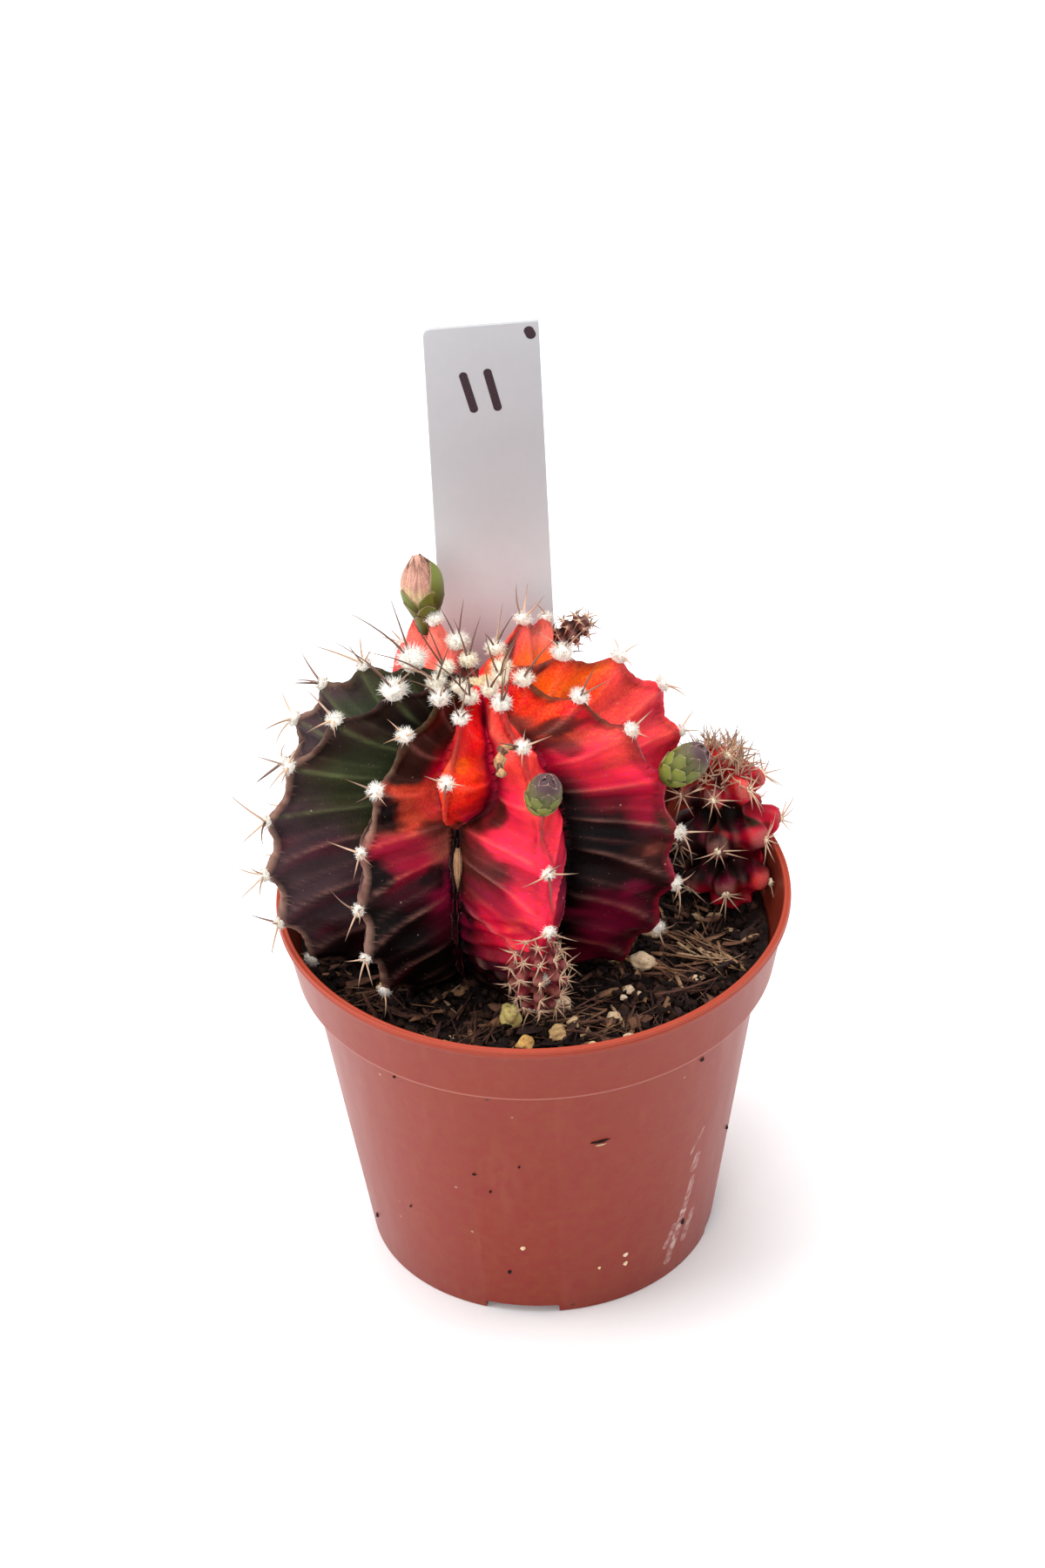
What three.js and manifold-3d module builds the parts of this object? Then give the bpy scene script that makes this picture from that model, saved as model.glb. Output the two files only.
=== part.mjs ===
// A variegated chin cactus on its own roots, in a small nursery pot, with three offsets, flower
// buds and a plant label. Millimetres, +Z up, origin at the centre of the pot's underside.
// -Y is the front. The plant is one grown body: ribs, wool and spines are joined into it.

import * as THREE from "three";
import { mergeVertices } from "three/addons/utils/BufferGeometryUtils.js";
import Module from "manifold-3d";

const wasm = await Module();
wasm.setup();

const DEG = Math.PI / 180;
const UP = new THREE.Vector3(0, 1, 0);

// Clearance between neighbouring pieces.
const GAP = 0.3;

// ---- Driving dimensions, in millimetres and degrees ----

const POT = {
  height: 66.5,
  rimRadius: 42.5,
  lipWidth: 1.2,
  lipHeight: 1.7,
  bandHeight: 12.1,
  bandTopRadius: 41.7,
  bandRadius: 39.8,
  neckRadius: 37.5,
  baseRadius: 28.8,
  wall: 1.1,
  ledge: 0.9,
  floor: 1.4,
  footHeight: 1.6,
  footWidth: 1.5,
  padRadius: 9,
  notchWidth: 12.3,
  notches: 4,
  notchTurn: -98,
  drainRadius: 2.6,
  drainCircle: 18,
  drains: 8,
  sides: 48,
};

const SOIL = { level: 57, rings: 4, sides: 32, roughness: 0.7, grains: 16, fibres: 13 };

const BODY = {
  centre: new THREE.Vector3(-8.5, 1.9, 83.5),
  leanRight: 1.7,
  leanBack: 3.9,
  radius: 35.5,
  rise: 25.3,
  fall: 29.6,
  squareness: 0.57,
  grooveRadius: 20,
  grooveRise: 19.5,
  grooveSquareness: 0.75,
  grooveOpening: 15,
  crownDip: 1.6,
  scallop: 1.9,
  chinSwell: 0.45,
  bulge: 0.07,
  wool: 1.5,
  spine: 6.6,
  spines: 3,
  spineRadius: 0.3,
  root: 16,
  rootRadius: 11,
};

// Ribs round the plant, from +X towards +Y. reach is the crest's share of the body radius,
// first is the crest length from the crown to the first areole and spacing the length between
// areoles. bare lists areoles whose wool is left out, under a bud. end is where a short rib stops,
// and spread how much wider its farther flank is than its neighbour's.
const RIBS = [
  { azimuth: 22, reach: 1.02, first: 4, spacing: 10.3 },
  { azimuth: 67, reach: 1.02, first: 7, spacing: 11.6 },
  { azimuth: 111, reach: 1, first: 9, spacing: 10, bare: [2] },
  { azimuth: 165, reach: 0.92, first: 12, spacing: 8.9 },
  { azimuth: 203, reach: 1.06, first: 14, spacing: 10.1 },
  { azimuth: 233.8, reach: 0.93, first: 11.4, spacing: 10.5 },
  { azimuth: 258, reach: 0.97, first: 14.8, spacing: 13.2, end: 39, spread: 2 },
  { azimuth: 288.6, reach: 0.95, first: 11.5, spacing: 10.7, bare: [2] },
  { azimuth: 337.1, reach: 0.98, first: 8, spacing: 9.9, bare: [3] },
];

// Places across a rib, from its left groove to just before its right one. The crest is as wide
// as the middle two are apart.
const CREST = 0.05;
const ACROSS = [-1, -0.64, -0.3, -CREST, CREST, 0.3, 0.64];

const PUP_RIGHT = {
  foot: new THREE.Vector3(34.4, 9.8, 56),
  leanRight: -8,
  leanBack: 12,
  width: 19.2,
  height: 27.5,
  pear: 0.5,
  ribs: 7,
  tiers: 4,
  ribRelief: 0.09,
  tierRelief: 0.1,
  wool: 0.8,
  spine: 4.6,
  columns: 21,
  rows: 15,
};

const PUP_FRONT = {
  foot: new THREE.Vector3(0.3, -26.3, 63.4),
  leanRight: 0,
  leanBack: -3,
  width: 9,
  height: 13.4,
  pear: 0.1,
  ribs: 6,
  tiers: 3,
  ribRelief: 0.1,
  tierRelief: 0.08,
  wool: 0.6,
  spine: 3.3,
  columns: 12,
  rows: 10,
};

const PUP_BACK = {
  width: 4.2,
  height: 7.2,
  pear: -0.25,
  ribs: 5,
  tiers: 2,
  ribRelief: 0.08,
  tierRelief: 0.06,
  wool: 0.45,
  spine: 3,
  columns: 10,
  rows: 7,
};

const BUD = { width: 6.2, height: 8.4, tiers: 4, scales: 5, relief: 0.13, columns: 15, rows: 13 };

const BUD_RIGHT = { ...BUD, width: 6.6, height: 9.2 };

// The faded bud is longer, and stands on the back left rib at this length from the crown.
const SPENT = { ...BUD, height: 15, tiers: 3, scales: 3, relief: 0.1, crestLength: 23.4 };

// The dried flower's bends, each left of its areole, down the rib and out from it.
const DRIED = {
  width: 1.5,
  thickness: 0.9,
  bends: [
    [1.4, -0.3, 0.7],
    [3.4, 0.2, 1.5],
    [4.7, 2.4, 1.2],
    [5.1, 5.4, 1.6],
  ],
};

const LABEL = {
  width: 19,
  thickness: 0.8,
  length: 106.5,
  point: 12,
  corner: 1.4,
  tip: new THREE.Vector3(-3.7, 31.8, 44),
  leanLeft: 1.1,
  leanBack: 6,
  turn: 4,
};

// How far the ribs keep inside the pot's rim, down to which depth the limit narrows and how
// steeply, and how far over the rim it still holds.
const RIM_ROOM = { gap: 0.8, depth: 8, slope: 0.5, reach: 14 };

// How far spines keep from the soil, from the pot's wall and rim, and from the label, which
// middle stands for across.
const BODY_ROOM = { soil: 2.6, wall: 3, rim: 0.8, label: 2, middle: 5 };

// The same for an offset's spines, and the rounded block that stands for the body there.
const PUP_ROOM = { soil: 2, wall: 1.2, rim: 1, width: 1.04, squareness: 3.5, fill: 1.1 };

// Radii of the balls that spines keep clear of: shares of a height, or millimetres for the
// front offset, the dried flower and round the right offset.
const BALLS = { bud: 0.62, budRight: 0.6, spent: 0.57, pupBack: 1, pupFront: 7.5, curl: 2, pupRight: 1.2 };

// ---- Helpers ----

// A seeded random number maker, so that every build is the same.
function seeded(seed) {
  let state = seed;
  return () => {
    state = (state + 0x6d2b79f5) | 0;
    let mixed = Math.imul(state ^ (state >>> 15), 1 | state);
    mixed = (mixed + Math.imul(mixed ^ (mixed >>> 7), 61 | mixed)) ^ mixed;
    return ((mixed ^ (mixed >>> 14)) >>> 0) / 4294967296;
  };
}

// Rises from 0 at low to 1 at high, or falls where low is the larger.
function smoothstep(low, high, value) {
  const share = Math.min(1, Math.max(0, (value - low) / (high - low)));
  return share * share * (3 - 2 * share);
}

function mix(from, to, share) {
  return from + (to - from) * share;
}

// A closed geometry as a solid that can be joined and cut.
function solid(geometry) {
  const bare = new THREE.BufferGeometry();
  bare.setAttribute("position", geometry.getAttribute("position"));
  bare.setIndex(geometry.index);
  const merged = mergeVertices(bare, 1e-4);
  return new wasm.Manifold(
    new wasm.Mesh({
      numProp: 3,
      vertProperties: new Float32Array(merged.attributes.position.array),
      triVerts: new Uint32Array(merged.index.array),
    }),
  );
}

function joined(solids) {
  return wasm.Manifold.union(solids);
}

// The solid's largest body, without loose scraps that a cut may leave.
function largest(shape) {
  return shape.decompose().sort((a, b) => b.volume() - a.volume())[0];
}

function geometryOf(shape) {
  const mesh = shape.getMesh();
  const geometry = new THREE.BufferGeometry();
  geometry.setAttribute("position", new THREE.BufferAttribute(mesh.vertProperties, 3));
  geometry.setIndex(new THREE.BufferAttribute(mesh.triVerts, 1));
  geometry.computeVertexNormals();
  return geometry;
}

function node(name, shape, color, roughness) {
  const material = new THREE.MeshStandardMaterial({ color, roughness, metalness: 0 });
  const mesh = new THREE.Mesh(geometryOf(shape), material);
  mesh.name = name;
  return mesh;
}

// A turned shape about +Z from an outline of [radius, height] points that closes on the axis.
function turned(outline, sides) {
  const points = outline.map(([radius, height]) => new THREE.Vector2(radius, height));
  const geometry = new THREE.LatheGeometry(points, sides);
  geometry.rotateX(90 * DEG);
  return geometry;
}

// A ball whose vertices are put in place by a rule: column runs round from 0 to 1 and row runs
// from 0 at the top to 1 at the foot.
function shapedBall(columns, rows, place) {
  const geometry = new THREE.SphereGeometry(1, columns, rows);
  const position = geometry.getAttribute("position");
  for (let row = 0; row <= rows; row += 1) {
    for (let column = 0; column <= columns; column += 1) {
      const point = place(column % columns, row);
      position.setXYZ(row * (columns + 1) + column, point.x, point.y, point.z);
    }
  }
  return geometry;
}

// Turns a shape that was made along +Y to run along a direction from a point.
function aimed(geometry, start, direction) {
  const turn = new THREE.Quaternion().setFromUnitVectors(UP, direction.clone().normalize());
  geometry.applyQuaternion(turn);
  geometry.translate(start.x, start.y, start.z);
  return geometry;
}

function spine(start, direction, length, radius) {
  const cone = new THREE.ConeGeometry(radius, length, 3, 1);
  cone.translate(0, length / 2, 0);
  return solid(aimed(cone, start, direction));
}

// A tuft of felted wool: a squat faceted ball on the end of a chin.
function tuft(centre, normal, radius, random) {
  const ball = new THREE.IcosahedronGeometry(1, 0);
  ball.rotateY(random() * 360 * DEG);
  ball.scale(radius, radius * 0.72, radius);
  return solid(aimed(ball, centre, normal));
}

// The transform of a leaning piece: its own +Z leans right and back, and its foot is at a place.
function leaning(place, leanRight, leanBack) {
  const turn = new THREE.Euler(-leanBack * DEG, leanRight * DEG, 0, "YXZ");
  return new THREE.Matrix4().makeRotationFromEuler(turn).setPosition(place);
}

// ---- Pot ----

const rimInner = POT.rimRadius - POT.lipWidth;
const bandFoot = POT.height - POT.bandHeight;
const floorTop = POT.footHeight + POT.floor;
const innerBase = POT.baseRadius - POT.wall;
const innerNeck = POT.neckRadius - POT.wall;
const innerBand = POT.bandRadius - POT.wall;

function potShape() {
  const footInner = POT.baseRadius - POT.footWidth;
  const round = 0.35;
  const outline = [
    [0, 0],
    [POT.padRadius, 0],
    [POT.padRadius + round, POT.footHeight],
    [footInner - round, POT.footHeight],
    [footInner, 0],
    [POT.baseRadius, 0],
    [POT.neckRadius, bandFoot - round],
    [POT.bandRadius - round, bandFoot],
    [POT.bandRadius, bandFoot + round],
    [POT.bandTopRadius, POT.height - POT.lipHeight - round],
    [POT.rimRadius, POT.height - POT.lipHeight + round],
    [POT.rimRadius, POT.height - round],
    [POT.rimRadius - round, POT.height],
    [rimInner + round, POT.height],
    [rimInner, POT.height - round],
    [innerBand, bandFoot + POT.ledge],
    [innerNeck, bandFoot - POT.ledge],
    [innerBase, floorTop],
    [0, floorTop],
  ];
  const cuts = [];
  for (let index = 0; index < POT.notches; index += 1) {
    const notch = new THREE.BoxGeometry(4 * POT.footWidth, POT.notchWidth, 2 * POT.footHeight);
    notch.translate(POT.baseRadius - 0.5 * POT.footWidth, 0, 0);
    notch.rotateZ((POT.notchTurn + (index * 360) / POT.notches) * DEG);
    cuts.push(solid(notch));
  }
  for (let index = 0; index < POT.drains; index += 1) {
    const drain = new THREE.CylinderGeometry(POT.drainRadius, POT.drainRadius, 6, 10);
    drain.rotateX(90 * DEG);
    drain.translate(POT.drainCircle, 0, floorTop - 1);
    drain.rotateZ(((index + 0.5) * 360 * DEG) / POT.drains);
    cuts.push(solid(drain));
  }
  return solid(turned(outline, POT.sides)).subtract(joined(cuts));
}

// ---- Cactus body ----

const bodyPlace = leaning(BODY.centre, BODY.leanRight, BODY.leanBack);

// A point of the crest profile at a latitude, with the outward normal in the profile's plane.
function crestAt(latitude, reach) {
  const height = latitude > 0 ? BODY.rise : BODY.fall;
  const cosine = Math.max(0, Math.cos(latitude));
  const radius = BODY.radius * reach * cosine ** BODY.squareness;
  const normal = new THREE.Vector2(cosine / BODY.radius, Math.sin(latitude) / height).normalize();
  return { radius, height: height * Math.sin(latitude), out: normal.x, up: normal.y };
}

// Crest length from the crown for a row of latitudes, so that lengths can be turned into them.
const crestSteps = 720;
const crestLengths = [0];
for (let step = 1; step <= crestSteps; step += 1) {
  const above = crestAt((90 - (180 * (step - 1)) / crestSteps) * DEG, 1);
  const here = crestAt((90 - (180 * step) / crestSteps) * DEG, 1);
  const run = Math.hypot(here.radius - above.radius, here.height - above.height);
  crestLengths.push(crestLengths[step - 1] + run);
}
const crestEnd = crestLengths[crestSteps];

function latitudeAt(length) {
  const step = crestLengths.findIndex((value) => value >= Math.min(length, crestEnd));
  if (step <= 0) return 90 * DEG;
  const share = (length - crestLengths[step - 1]) / (crestLengths[step] - crestLengths[step - 1]);
  return (90 - (180 * (step - 1 + Math.min(1, share))) / crestSteps) * DEG;
}

// How much of a rib is left at a crest length: all of it, but for a short rib past its end.
function presence(rib, length) {
  return rib.end ? Math.max(0.02, 1 - smoothstep(rib.end - 7, rib.end + 2, length)) : 1;
}

// The groove between a rib and the next one round, in degrees past the rib's own azimuth.
function grooveAfter(index, length) {
  const rib = RIBS[index];
  const next = RIBS[(index + 1) % RIBS.length];
  const apart = (next.azimuth - rib.azimuth + 360) % 360;
  const own = presence(rib, length) * (rib.spread || 1);
  return (apart * own) / (own + presence(next, length));
}

// Crests dip between areoles and the flanks swell at them.
function scallopAt(rib, length) {
  return Math.abs(Math.sin((Math.PI * (length - rib.first)) / rib.spacing));
}

// The pot's rim presses the ribs in: a point near it is drawn towards the pot's axis.
function clearOfRim(point) {
  const over = Math.max(-RIM_ROOM.depth, point.z - POT.height);
  const limit = rimInner - RIM_ROOM.gap + over * RIM_ROOM.slope;
  const radius = Math.hypot(point.x, point.y);
  if (point.z < POT.height + RIM_ROOM.reach && radius > limit) {
    point.x *= limit / radius;
    point.y *= limit / radius;
  }
  return point;
}

// A point of the body's skin: across runs from -1 in a rib's left groove to 1 in its right one,
// and length is the crest length from the crown. grow swells the skin all over.
function skinPoint(index, across, length, grow = 0) {
  const rib = RIBS[index];
  const before = (index + RIBS.length - 1) % RIBS.length;
  const latitude = latitudeAt(length);
  const crest = crestAt(latitude, rib.reach);
  const open = smoothstep(0, BODY.grooveOpening, length);
  const grooveHeight = (latitude > 0 ? BODY.grooveRise : BODY.fall) * Math.sin(latitude);
  const cosine = Math.max(0, Math.cos(latitude));
  const grooveRadius = BODY.grooveRadius * cosine ** BODY.grooveSquareness;
  const scallop = scallopAt(rib, length);
  const dip = BODY.scallop * scallop ** 1.3 * smoothstep(3, 12, length) * smoothstep(100, 84, length);
  const left = presence(rib, length);
  const foot = {
    radius: mix(crest.radius, grooveRadius, open),
    height: mix(crest.height, grooveHeight, open),
  };
  const top = {
    radius: mix(foot.radius, crest.radius - dip * crest.out, left),
    height: mix(foot.height, crest.height - dip * crest.up, left),
  };
  const apart = (rib.azimuth - RIBS[before].azimuth + 360) % 360;
  const half = across < 0 ? apart - grooveAfter(before, length) : grooveAfter(index, length);
  const share = Math.max(0, (Math.abs(across) - CREST) / (1 - CREST));
  const span = half * (1 - CREST) * DEG;
  const flat =
    (top.radius * foot.radius * Math.sin(span)) /
    (top.radius * Math.sin(share * span) + foot.radius * Math.sin((1 - share) * span) || 1);
  const swell = BODY.bulge + (BODY.chinSwell / BODY.radius) * (1 - 2 * scallop);
  const radius = flat * (1 + 4 * share * (1 - share) * swell * open * left) + grow;
  const drop = Math.min(1, (top.radius - flat) / Math.max(0.01, top.radius - foot.radius));
  const dipped = BODY.crownDip * (1 - smoothstep(0, 9, length));
  const height = mix(top.height, foot.height, Math.max(0, drop)) - dipped;
  const angle = (rib.azimuth + across * half) * DEG;
  const side = cosine < 1e-6 ? 0 : radius;
  const point = new THREE.Vector3(side * Math.cos(angle), side * Math.sin(angle), height);
  point.z += grow * Math.sign(latitude) * Math.abs(Math.sin(latitude));
  point.applyMatrix4(bodyPlace);
  return grow > 0 ? point : clearOfRim(point);
}

// Crest lengths of the rows: even down to the soil and wide apart below it.
const crestInSoil = 84;
const bodyRows = 30;
function rowLength(row) {
  const buried = 3;
  const even = bodyRows - buried;
  if (row <= even) return (crestInSoil * row) / even;
  return mix(crestInSoil, crestEnd, (row - even) / buried);
}

function bodySkin(grow) {
  const columns = RIBS.length * ACROSS.length;
  return shapedBall(columns, bodyRows, (column, row) => {
    const index = Math.floor(column / ACROSS.length);
    return skinPoint(index, ACROSS[column % ACROSS.length], rowLength(row), grow);
  });
}

// The areoles of a rib: where each one is, and its three directions.
function areolesOf(index) {
  const rib = RIBS[index];
  const list = [];
  if (rib.first > 7) list.push({ length: rib.first * 0.5, young: true, order: -1 });
  for (let order = 0; order < 9; order += 1) {
    list.push({ length: rib.first + order * rib.spacing, young: false, order });
  }
  return list
    .filter((areole) => areole.length < (rib.end ? rib.end - 4 : crestInSoil))
    .map((areole) => {
      const at = skinPoint(index, 0, areole.length);
      const above = skinPoint(index, 0, areole.length - 1.5);
      const below = skinPoint(index, 0, areole.length + 1.5);
      const down = below.clone().sub(above).normalize();
      const angle = rib.azimuth * DEG;
      const side = new THREE.Vector3(-Math.sin(angle), Math.cos(angle), 0);
      const out = side.clone().cross(down).normalize();
      if (out.dot(at.clone().sub(BODY.centre)) < 0) out.negate();
      return { ...areole, at, down, side, out };
    })
    .filter((areole) => areole.at.z > SOIL.level + 4);
}

// Spine directions round an areole, in degrees from straight down the rib.
const SPINE_TURNS = [0, 82, -82, 150];

function areoleShapes(areole, size, random, isClear) {
  const shapes = [];
  const scale = areole.young ? 0.75 : 1;
  const seat = areole.at.clone().addScaledVector(areole.out, 0.1 * size.wool);
  if (!areole.bare) shapes.push(tuft(seat, areole.out, size.wool * scale, random));
  const turns = SPINE_TURNS.slice(0, areole.young ? 2 : size.spines + (random() < 0.3 ? 1 : 0));
  for (const turn of turns) {
    const angle = (turn + (random() - 0.5) * 36) * DEG;
    const direction = areole.out
      .clone()
      .multiplyScalar(0.65 + 0.4 * random())
      .addScaledVector(areole.down, Math.cos(angle))
      .addScaledVector(areole.side, Math.sin(angle))
      .normalize();
    const length = size.spine * scale * (0.85 + 0.3 * random());
    const root = areole.bare ? areole.at.clone().addScaledVector(areole.out, -0.8) : seat.clone();
    const middle = root.clone().addScaledVector(direction, length * 0.55);
    const tip = root.clone().addScaledVector(direction, length);
    if (isClear(tip) && isClear(middle)) {
      shapes.push(spine(root, direction, length, size.spineRadius));
    }
  }
  return shapes;
}

// ---- Offsets ----

// The skin of an offset: a tall ball with tubercles where its ribs and tiers cross.
function pupPoint(pup, place, around, fromTop, grow = 0) {
  const polar = fromTop * Math.PI;
  const fade = Math.sin(polar);
  const rib = Math.cos(around * pup.ribs * 2 * Math.PI);
  const tier = -Math.cos(fromTop * (pup.tiers + 1) * 2 * Math.PI);
  const swell = 1 + fade * (pup.ribRelief * (rib - 1) + pup.tierRelief * (tier - 1));
  const pear = 1 + pup.pear * (fromTop - 0.68);
  const radius = (pup.width / 2) * fade ** 0.8 * swell * pear + grow * fade;
  const height = pup.height * (0.5 + 0.5 * Math.cos(polar)) + grow * Math.cos(polar);
  const angle = around * 2 * Math.PI;
  const point = new THREE.Vector3(radius * Math.cos(angle), radius * Math.sin(angle), height);
  point.applyMatrix4(place);
  return grow > 0 ? point : clearOfRim(point);
}

function pupSkin(pup, place, grow = 0) {
  return shapedBall(pup.columns, pup.rows, (column, row) =>
    pupPoint(pup, place, column / pup.columns, row / pup.rows, grow),
  );
}

function pupShape(pup, place, seed, isClear) {
  const random = seeded(seed);
  const shapes = [solid(pupSkin(pup, place))];
  const size = { wool: pup.wool, spine: pup.spine, spineRadius: 0.26, spines: 2 };
  for (let tier = 0; tier < pup.tiers; tier += 1) {
    const fromTop = (tier + 0.5) / (pup.tiers + 1);
    for (let rib = 0; rib < pup.ribs; rib += 1) {
      if (tier === 0 && rib % 2 === 1) continue;
      const around = rib / pup.ribs;
      const at = pupPoint(pup, place, around, fromTop);
      const below = pupPoint(pup, place, around, fromTop + 0.04);
      const beside = pupPoint(pup, place, around + 0.5 / pup.ribs, fromTop);
      const down = below.sub(at).normalize();
      const aside = beside.sub(at).normalize();
      const out = down.clone().cross(aside).normalize();
      const centre = new THREE.Vector3(0, 0, pup.height / 2).applyMatrix4(place);
      if (out.dot(at.clone().sub(centre)) < 0) out.negate();
      const side = out.clone().cross(down).normalize();
      const areole = { at, down, side, out, young: false };
      if (at.z > SOIL.level + 1.5) shapes.push(...areoleShapes(areole, size, random, isClear));
    }
  }
  return largest(joined(shapes));
}

// ---- Buds and flowers ----

// A bud of overlapping scales: each tier's scales stand out at their free upper edge.
function budPoint(bud, place, around, fromTop) {
  const polar = fromTop * Math.PI;
  const fade = Math.sin(polar);
  const edge = Math.abs(Math.cos(around * bud.scales * Math.PI));
  const level = fromTop * bud.tiers + 0.45 * edge;
  const order = Math.floor(level);
  const stagger = order % 2 === 0 ? edge : 1 - edge;
  const step = 1 - (level - order);
  const swell = 1 + bud.relief * (step - 0.5) * (0.6 + 0.4 * stagger);
  const radius = (bud.width / 2) * fade ** 0.8 * swell;
  const height = bud.height * (0.5 + 0.5 * Math.cos(polar));
  const angle = around * 2 * Math.PI;
  const point = new THREE.Vector3(radius * Math.cos(angle), radius * Math.sin(angle), height);
  return point.applyMatrix4(place);
}

function budShape(bud, place) {
  return solid(
    shapedBall(bud.columns, bud.rows, (column, row) =>
      budPoint(bud, place, column / bud.columns, row / bud.rows),
    ),
  );
}

// The transform that stands a piece made along +Z on a seat, along a direction.
function standing(seat, direction) {
  const turn = new THREE.Quaternion().setFromUnitVectors(
    new THREE.Vector3(0, 0, 1),
    direction.clone().normalize(),
  );
  return new THREE.Matrix4().compose(seat, turn, new THREE.Vector3(1, 1, 1));
}

// ---- Label ----

function labelShape(grow) {
  const half = LABEL.width / 2 + grow;
  const foot = -grow;
  const top = LABEL.length + grow;
  const corner = LABEL.corner;
  const shape = new THREE.Shape();
  shape.moveTo(0, foot);
  shape.lineTo(half, foot + LABEL.point);
  shape.lineTo(half, top);
  shape.lineTo(-half + corner, top);
  shape.quadraticCurveTo(-half, top, -half, top - corner);
  shape.lineTo(-half, foot + LABEL.point);
  shape.closePath();
  const depth = LABEL.thickness + 2 * grow;
  const strip = new THREE.ExtrudeGeometry(shape, { depth, bevelEnabled: false, curveSegments: 4 });
  strip.translate(0, 0, -depth / 2);
  strip.rotateX(90 * DEG);
  strip.rotateZ(LABEL.turn * DEG);
  strip.applyMatrix4(leaning(LABEL.tip, -LABEL.leanLeft, LABEL.leanBack));
  return solid(strip);
}

// ---- Soil ----

function soilHeight(x, y) {
  const long = Math.sin(x * 0.31 + 1.3) * Math.cos(y * 0.27 - 0.4);
  const short = Math.sin(x * 0.83 + y * 0.61) * Math.cos(y * 0.94 - x * 0.35 + 2);
  return SOIL.level + SOIL.roughness * (0.8 * long + 0.7 * short);
}

function soilShape(holes) {
  const side = innerBand + ((rimInner - innerBand) * (SOIL.level - bandFoot)) / POT.bandHeight;
  const edge = side - GAP - 0.2;
  const outline = [
    [0, floorTop + GAP],
    [innerBase - GAP, floorTop + GAP],
    [innerNeck - GAP - 0.1, bandFoot - POT.ledge],
    [innerBand - GAP - 0.2, bandFoot + POT.ledge + 0.1],
  ];
  for (let ring = 0; ring <= SOIL.rings; ring += 1) {
    outline.push([edge * (1 - ring / SOIL.rings), SOIL.level]);
  }
  const geometry = turned(outline, SOIL.sides);
  const position = geometry.getAttribute("position");
  for (let index = 0; index < position.count; index += 1) {
    if (position.getZ(index) > SOIL.level - 0.01) {
      position.setZ(index, soilHeight(position.getX(index), position.getY(index)));
    }
  }
  return largest(joined([solid(geometry), ...litter(edge)]).subtract(joined(holes)));
}

// Grains of grit and bark fibres that lie in the soil's surface.
function litter(edge) {
  const random = seeded(41);
  const shapes = [];
  for (let index = 0; index < SOIL.grains; index += 1) {
    const radius = 0.9 + 1.3 * random();
    const spread = (edge - 3) * Math.sqrt(random());
    const angle = random() * 2 * Math.PI;
    const x = spread * Math.cos(angle);
    const y = spread * Math.sin(angle);
    const grain = new THREE.IcosahedronGeometry(radius, 0);
    grain.scale(1, 0.75 + 0.3 * random(), 0.7);
    grain.rotateZ(random() * 360 * DEG);
    grain.translate(x, y, soilHeight(x, y) + 0.2 * radius);
    shapes.push(solid(grain));
  }
  for (let index = 0; index < SOIL.fibres; index += 1) {
    const length = 4 + 7 * random();
    const spread = (edge - 6) * Math.sqrt(random());
    const angle = random() * 2 * Math.PI;
    const x = spread * Math.cos(angle);
    const y = spread * Math.sin(angle);
    const fibre = new THREE.BoxGeometry(length, 1 + 1.2 * random(), 0.9);
    fibre.rotateY((random() - 0.5) * 14 * DEG);
    fibre.rotateZ(random() * 360 * DEG);
    fibre.translate(x, y, soilHeight(x, y) + 0.25);
    shapes.push(solid(fibre));
  }
  return shapes;
}

// ---- Assembly: where the buds and offsets sit ----

// Balls that other pieces fill, which spines keep clear of.
const kept = [];

function keepClear(centre, radius) {
  kept.push({ centre, radius });
}

// A point that a spine of the body may reach: outside the soil, the pot, the label and all
// that stands on the body.
function clearOfAll(point) {
  const potRadius = Math.hypot(point.x, point.y);
  const inSoil = point.z < SOIL.level + BODY_ROOM.soil;
  const overRim = point.z > POT.height + BODY_ROOM.rim;
  const inWall = !overRim && potRadius > rimInner - BODY_ROOM.wall;
  const fromLabel = Math.abs(point.x + BODY_ROOM.middle) - LABEL.width / 2;
  const inLabel = point.y > LABEL.tip.y - BODY_ROOM.label && fromLabel < BODY_ROOM.label;
  const inPiece = kept.some(({ centre, radius }) => centre.distanceTo(point) < radius);
  return !inSoil && !inWall && !inLabel && !inPiece;
}

// A point that an offset's spine may reach: outside the pot's wall, the soil and the body.
function clearOfBody(point) {
  const potRadius = Math.hypot(point.x, point.y);
  const local = point.clone().applyMatrix4(bodyPlace.clone().invert());
  const height = local.z > 0 ? BODY.rise : BODY.fall;
  const flat = Math.hypot(local.x, local.y) / (BODY.radius * PUP_ROOM.width);
  const inBody = flat ** PUP_ROOM.squareness + (local.z / height) ** 2 < PUP_ROOM.fill;
  const overRim = point.z > POT.height + PUP_ROOM.rim;
  const inWall = !overRim && potRadius > rimInner - PUP_ROOM.wall;
  return point.z > SOIL.level + PUP_ROOM.soil && !inWall && !inBody;
}

function areoleOn(rib, order) {
  return areolesOf(rib).find((areole) => areole.order === order);
}

// Places of the ribs in RIBS that carry something.
const BACK_RIGHT = 1;
const BACK_LEFT = 2;
const FRONT = 7;
const RIGHT_FRONT = 8;

// Where each piece on the body has its foot, and which way it grows.
const frontSeat = areoleOn(FRONT, 2);
const frontAim = frontSeat.out.clone().add(new THREE.Vector3(0.2, 0, 1.3)).normalize();
const rightSeat = areoleOn(RIGHT_FRONT, 3).at;
const rightAim = new THREE.Vector3(0.75, -0.05, 0.65).normalize();
const spentSeat = skinPoint(BACK_LEFT, 0, SPENT.crestLength);
const spentAim = new THREE.Vector3(-0.1, 0.05, 1).normalize();
const backSeat = skinPoint(BACK_RIGHT, -0.1, 34);
const backAim = new THREE.Vector3(0.88, 0.28, 0.45).normalize();

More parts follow.
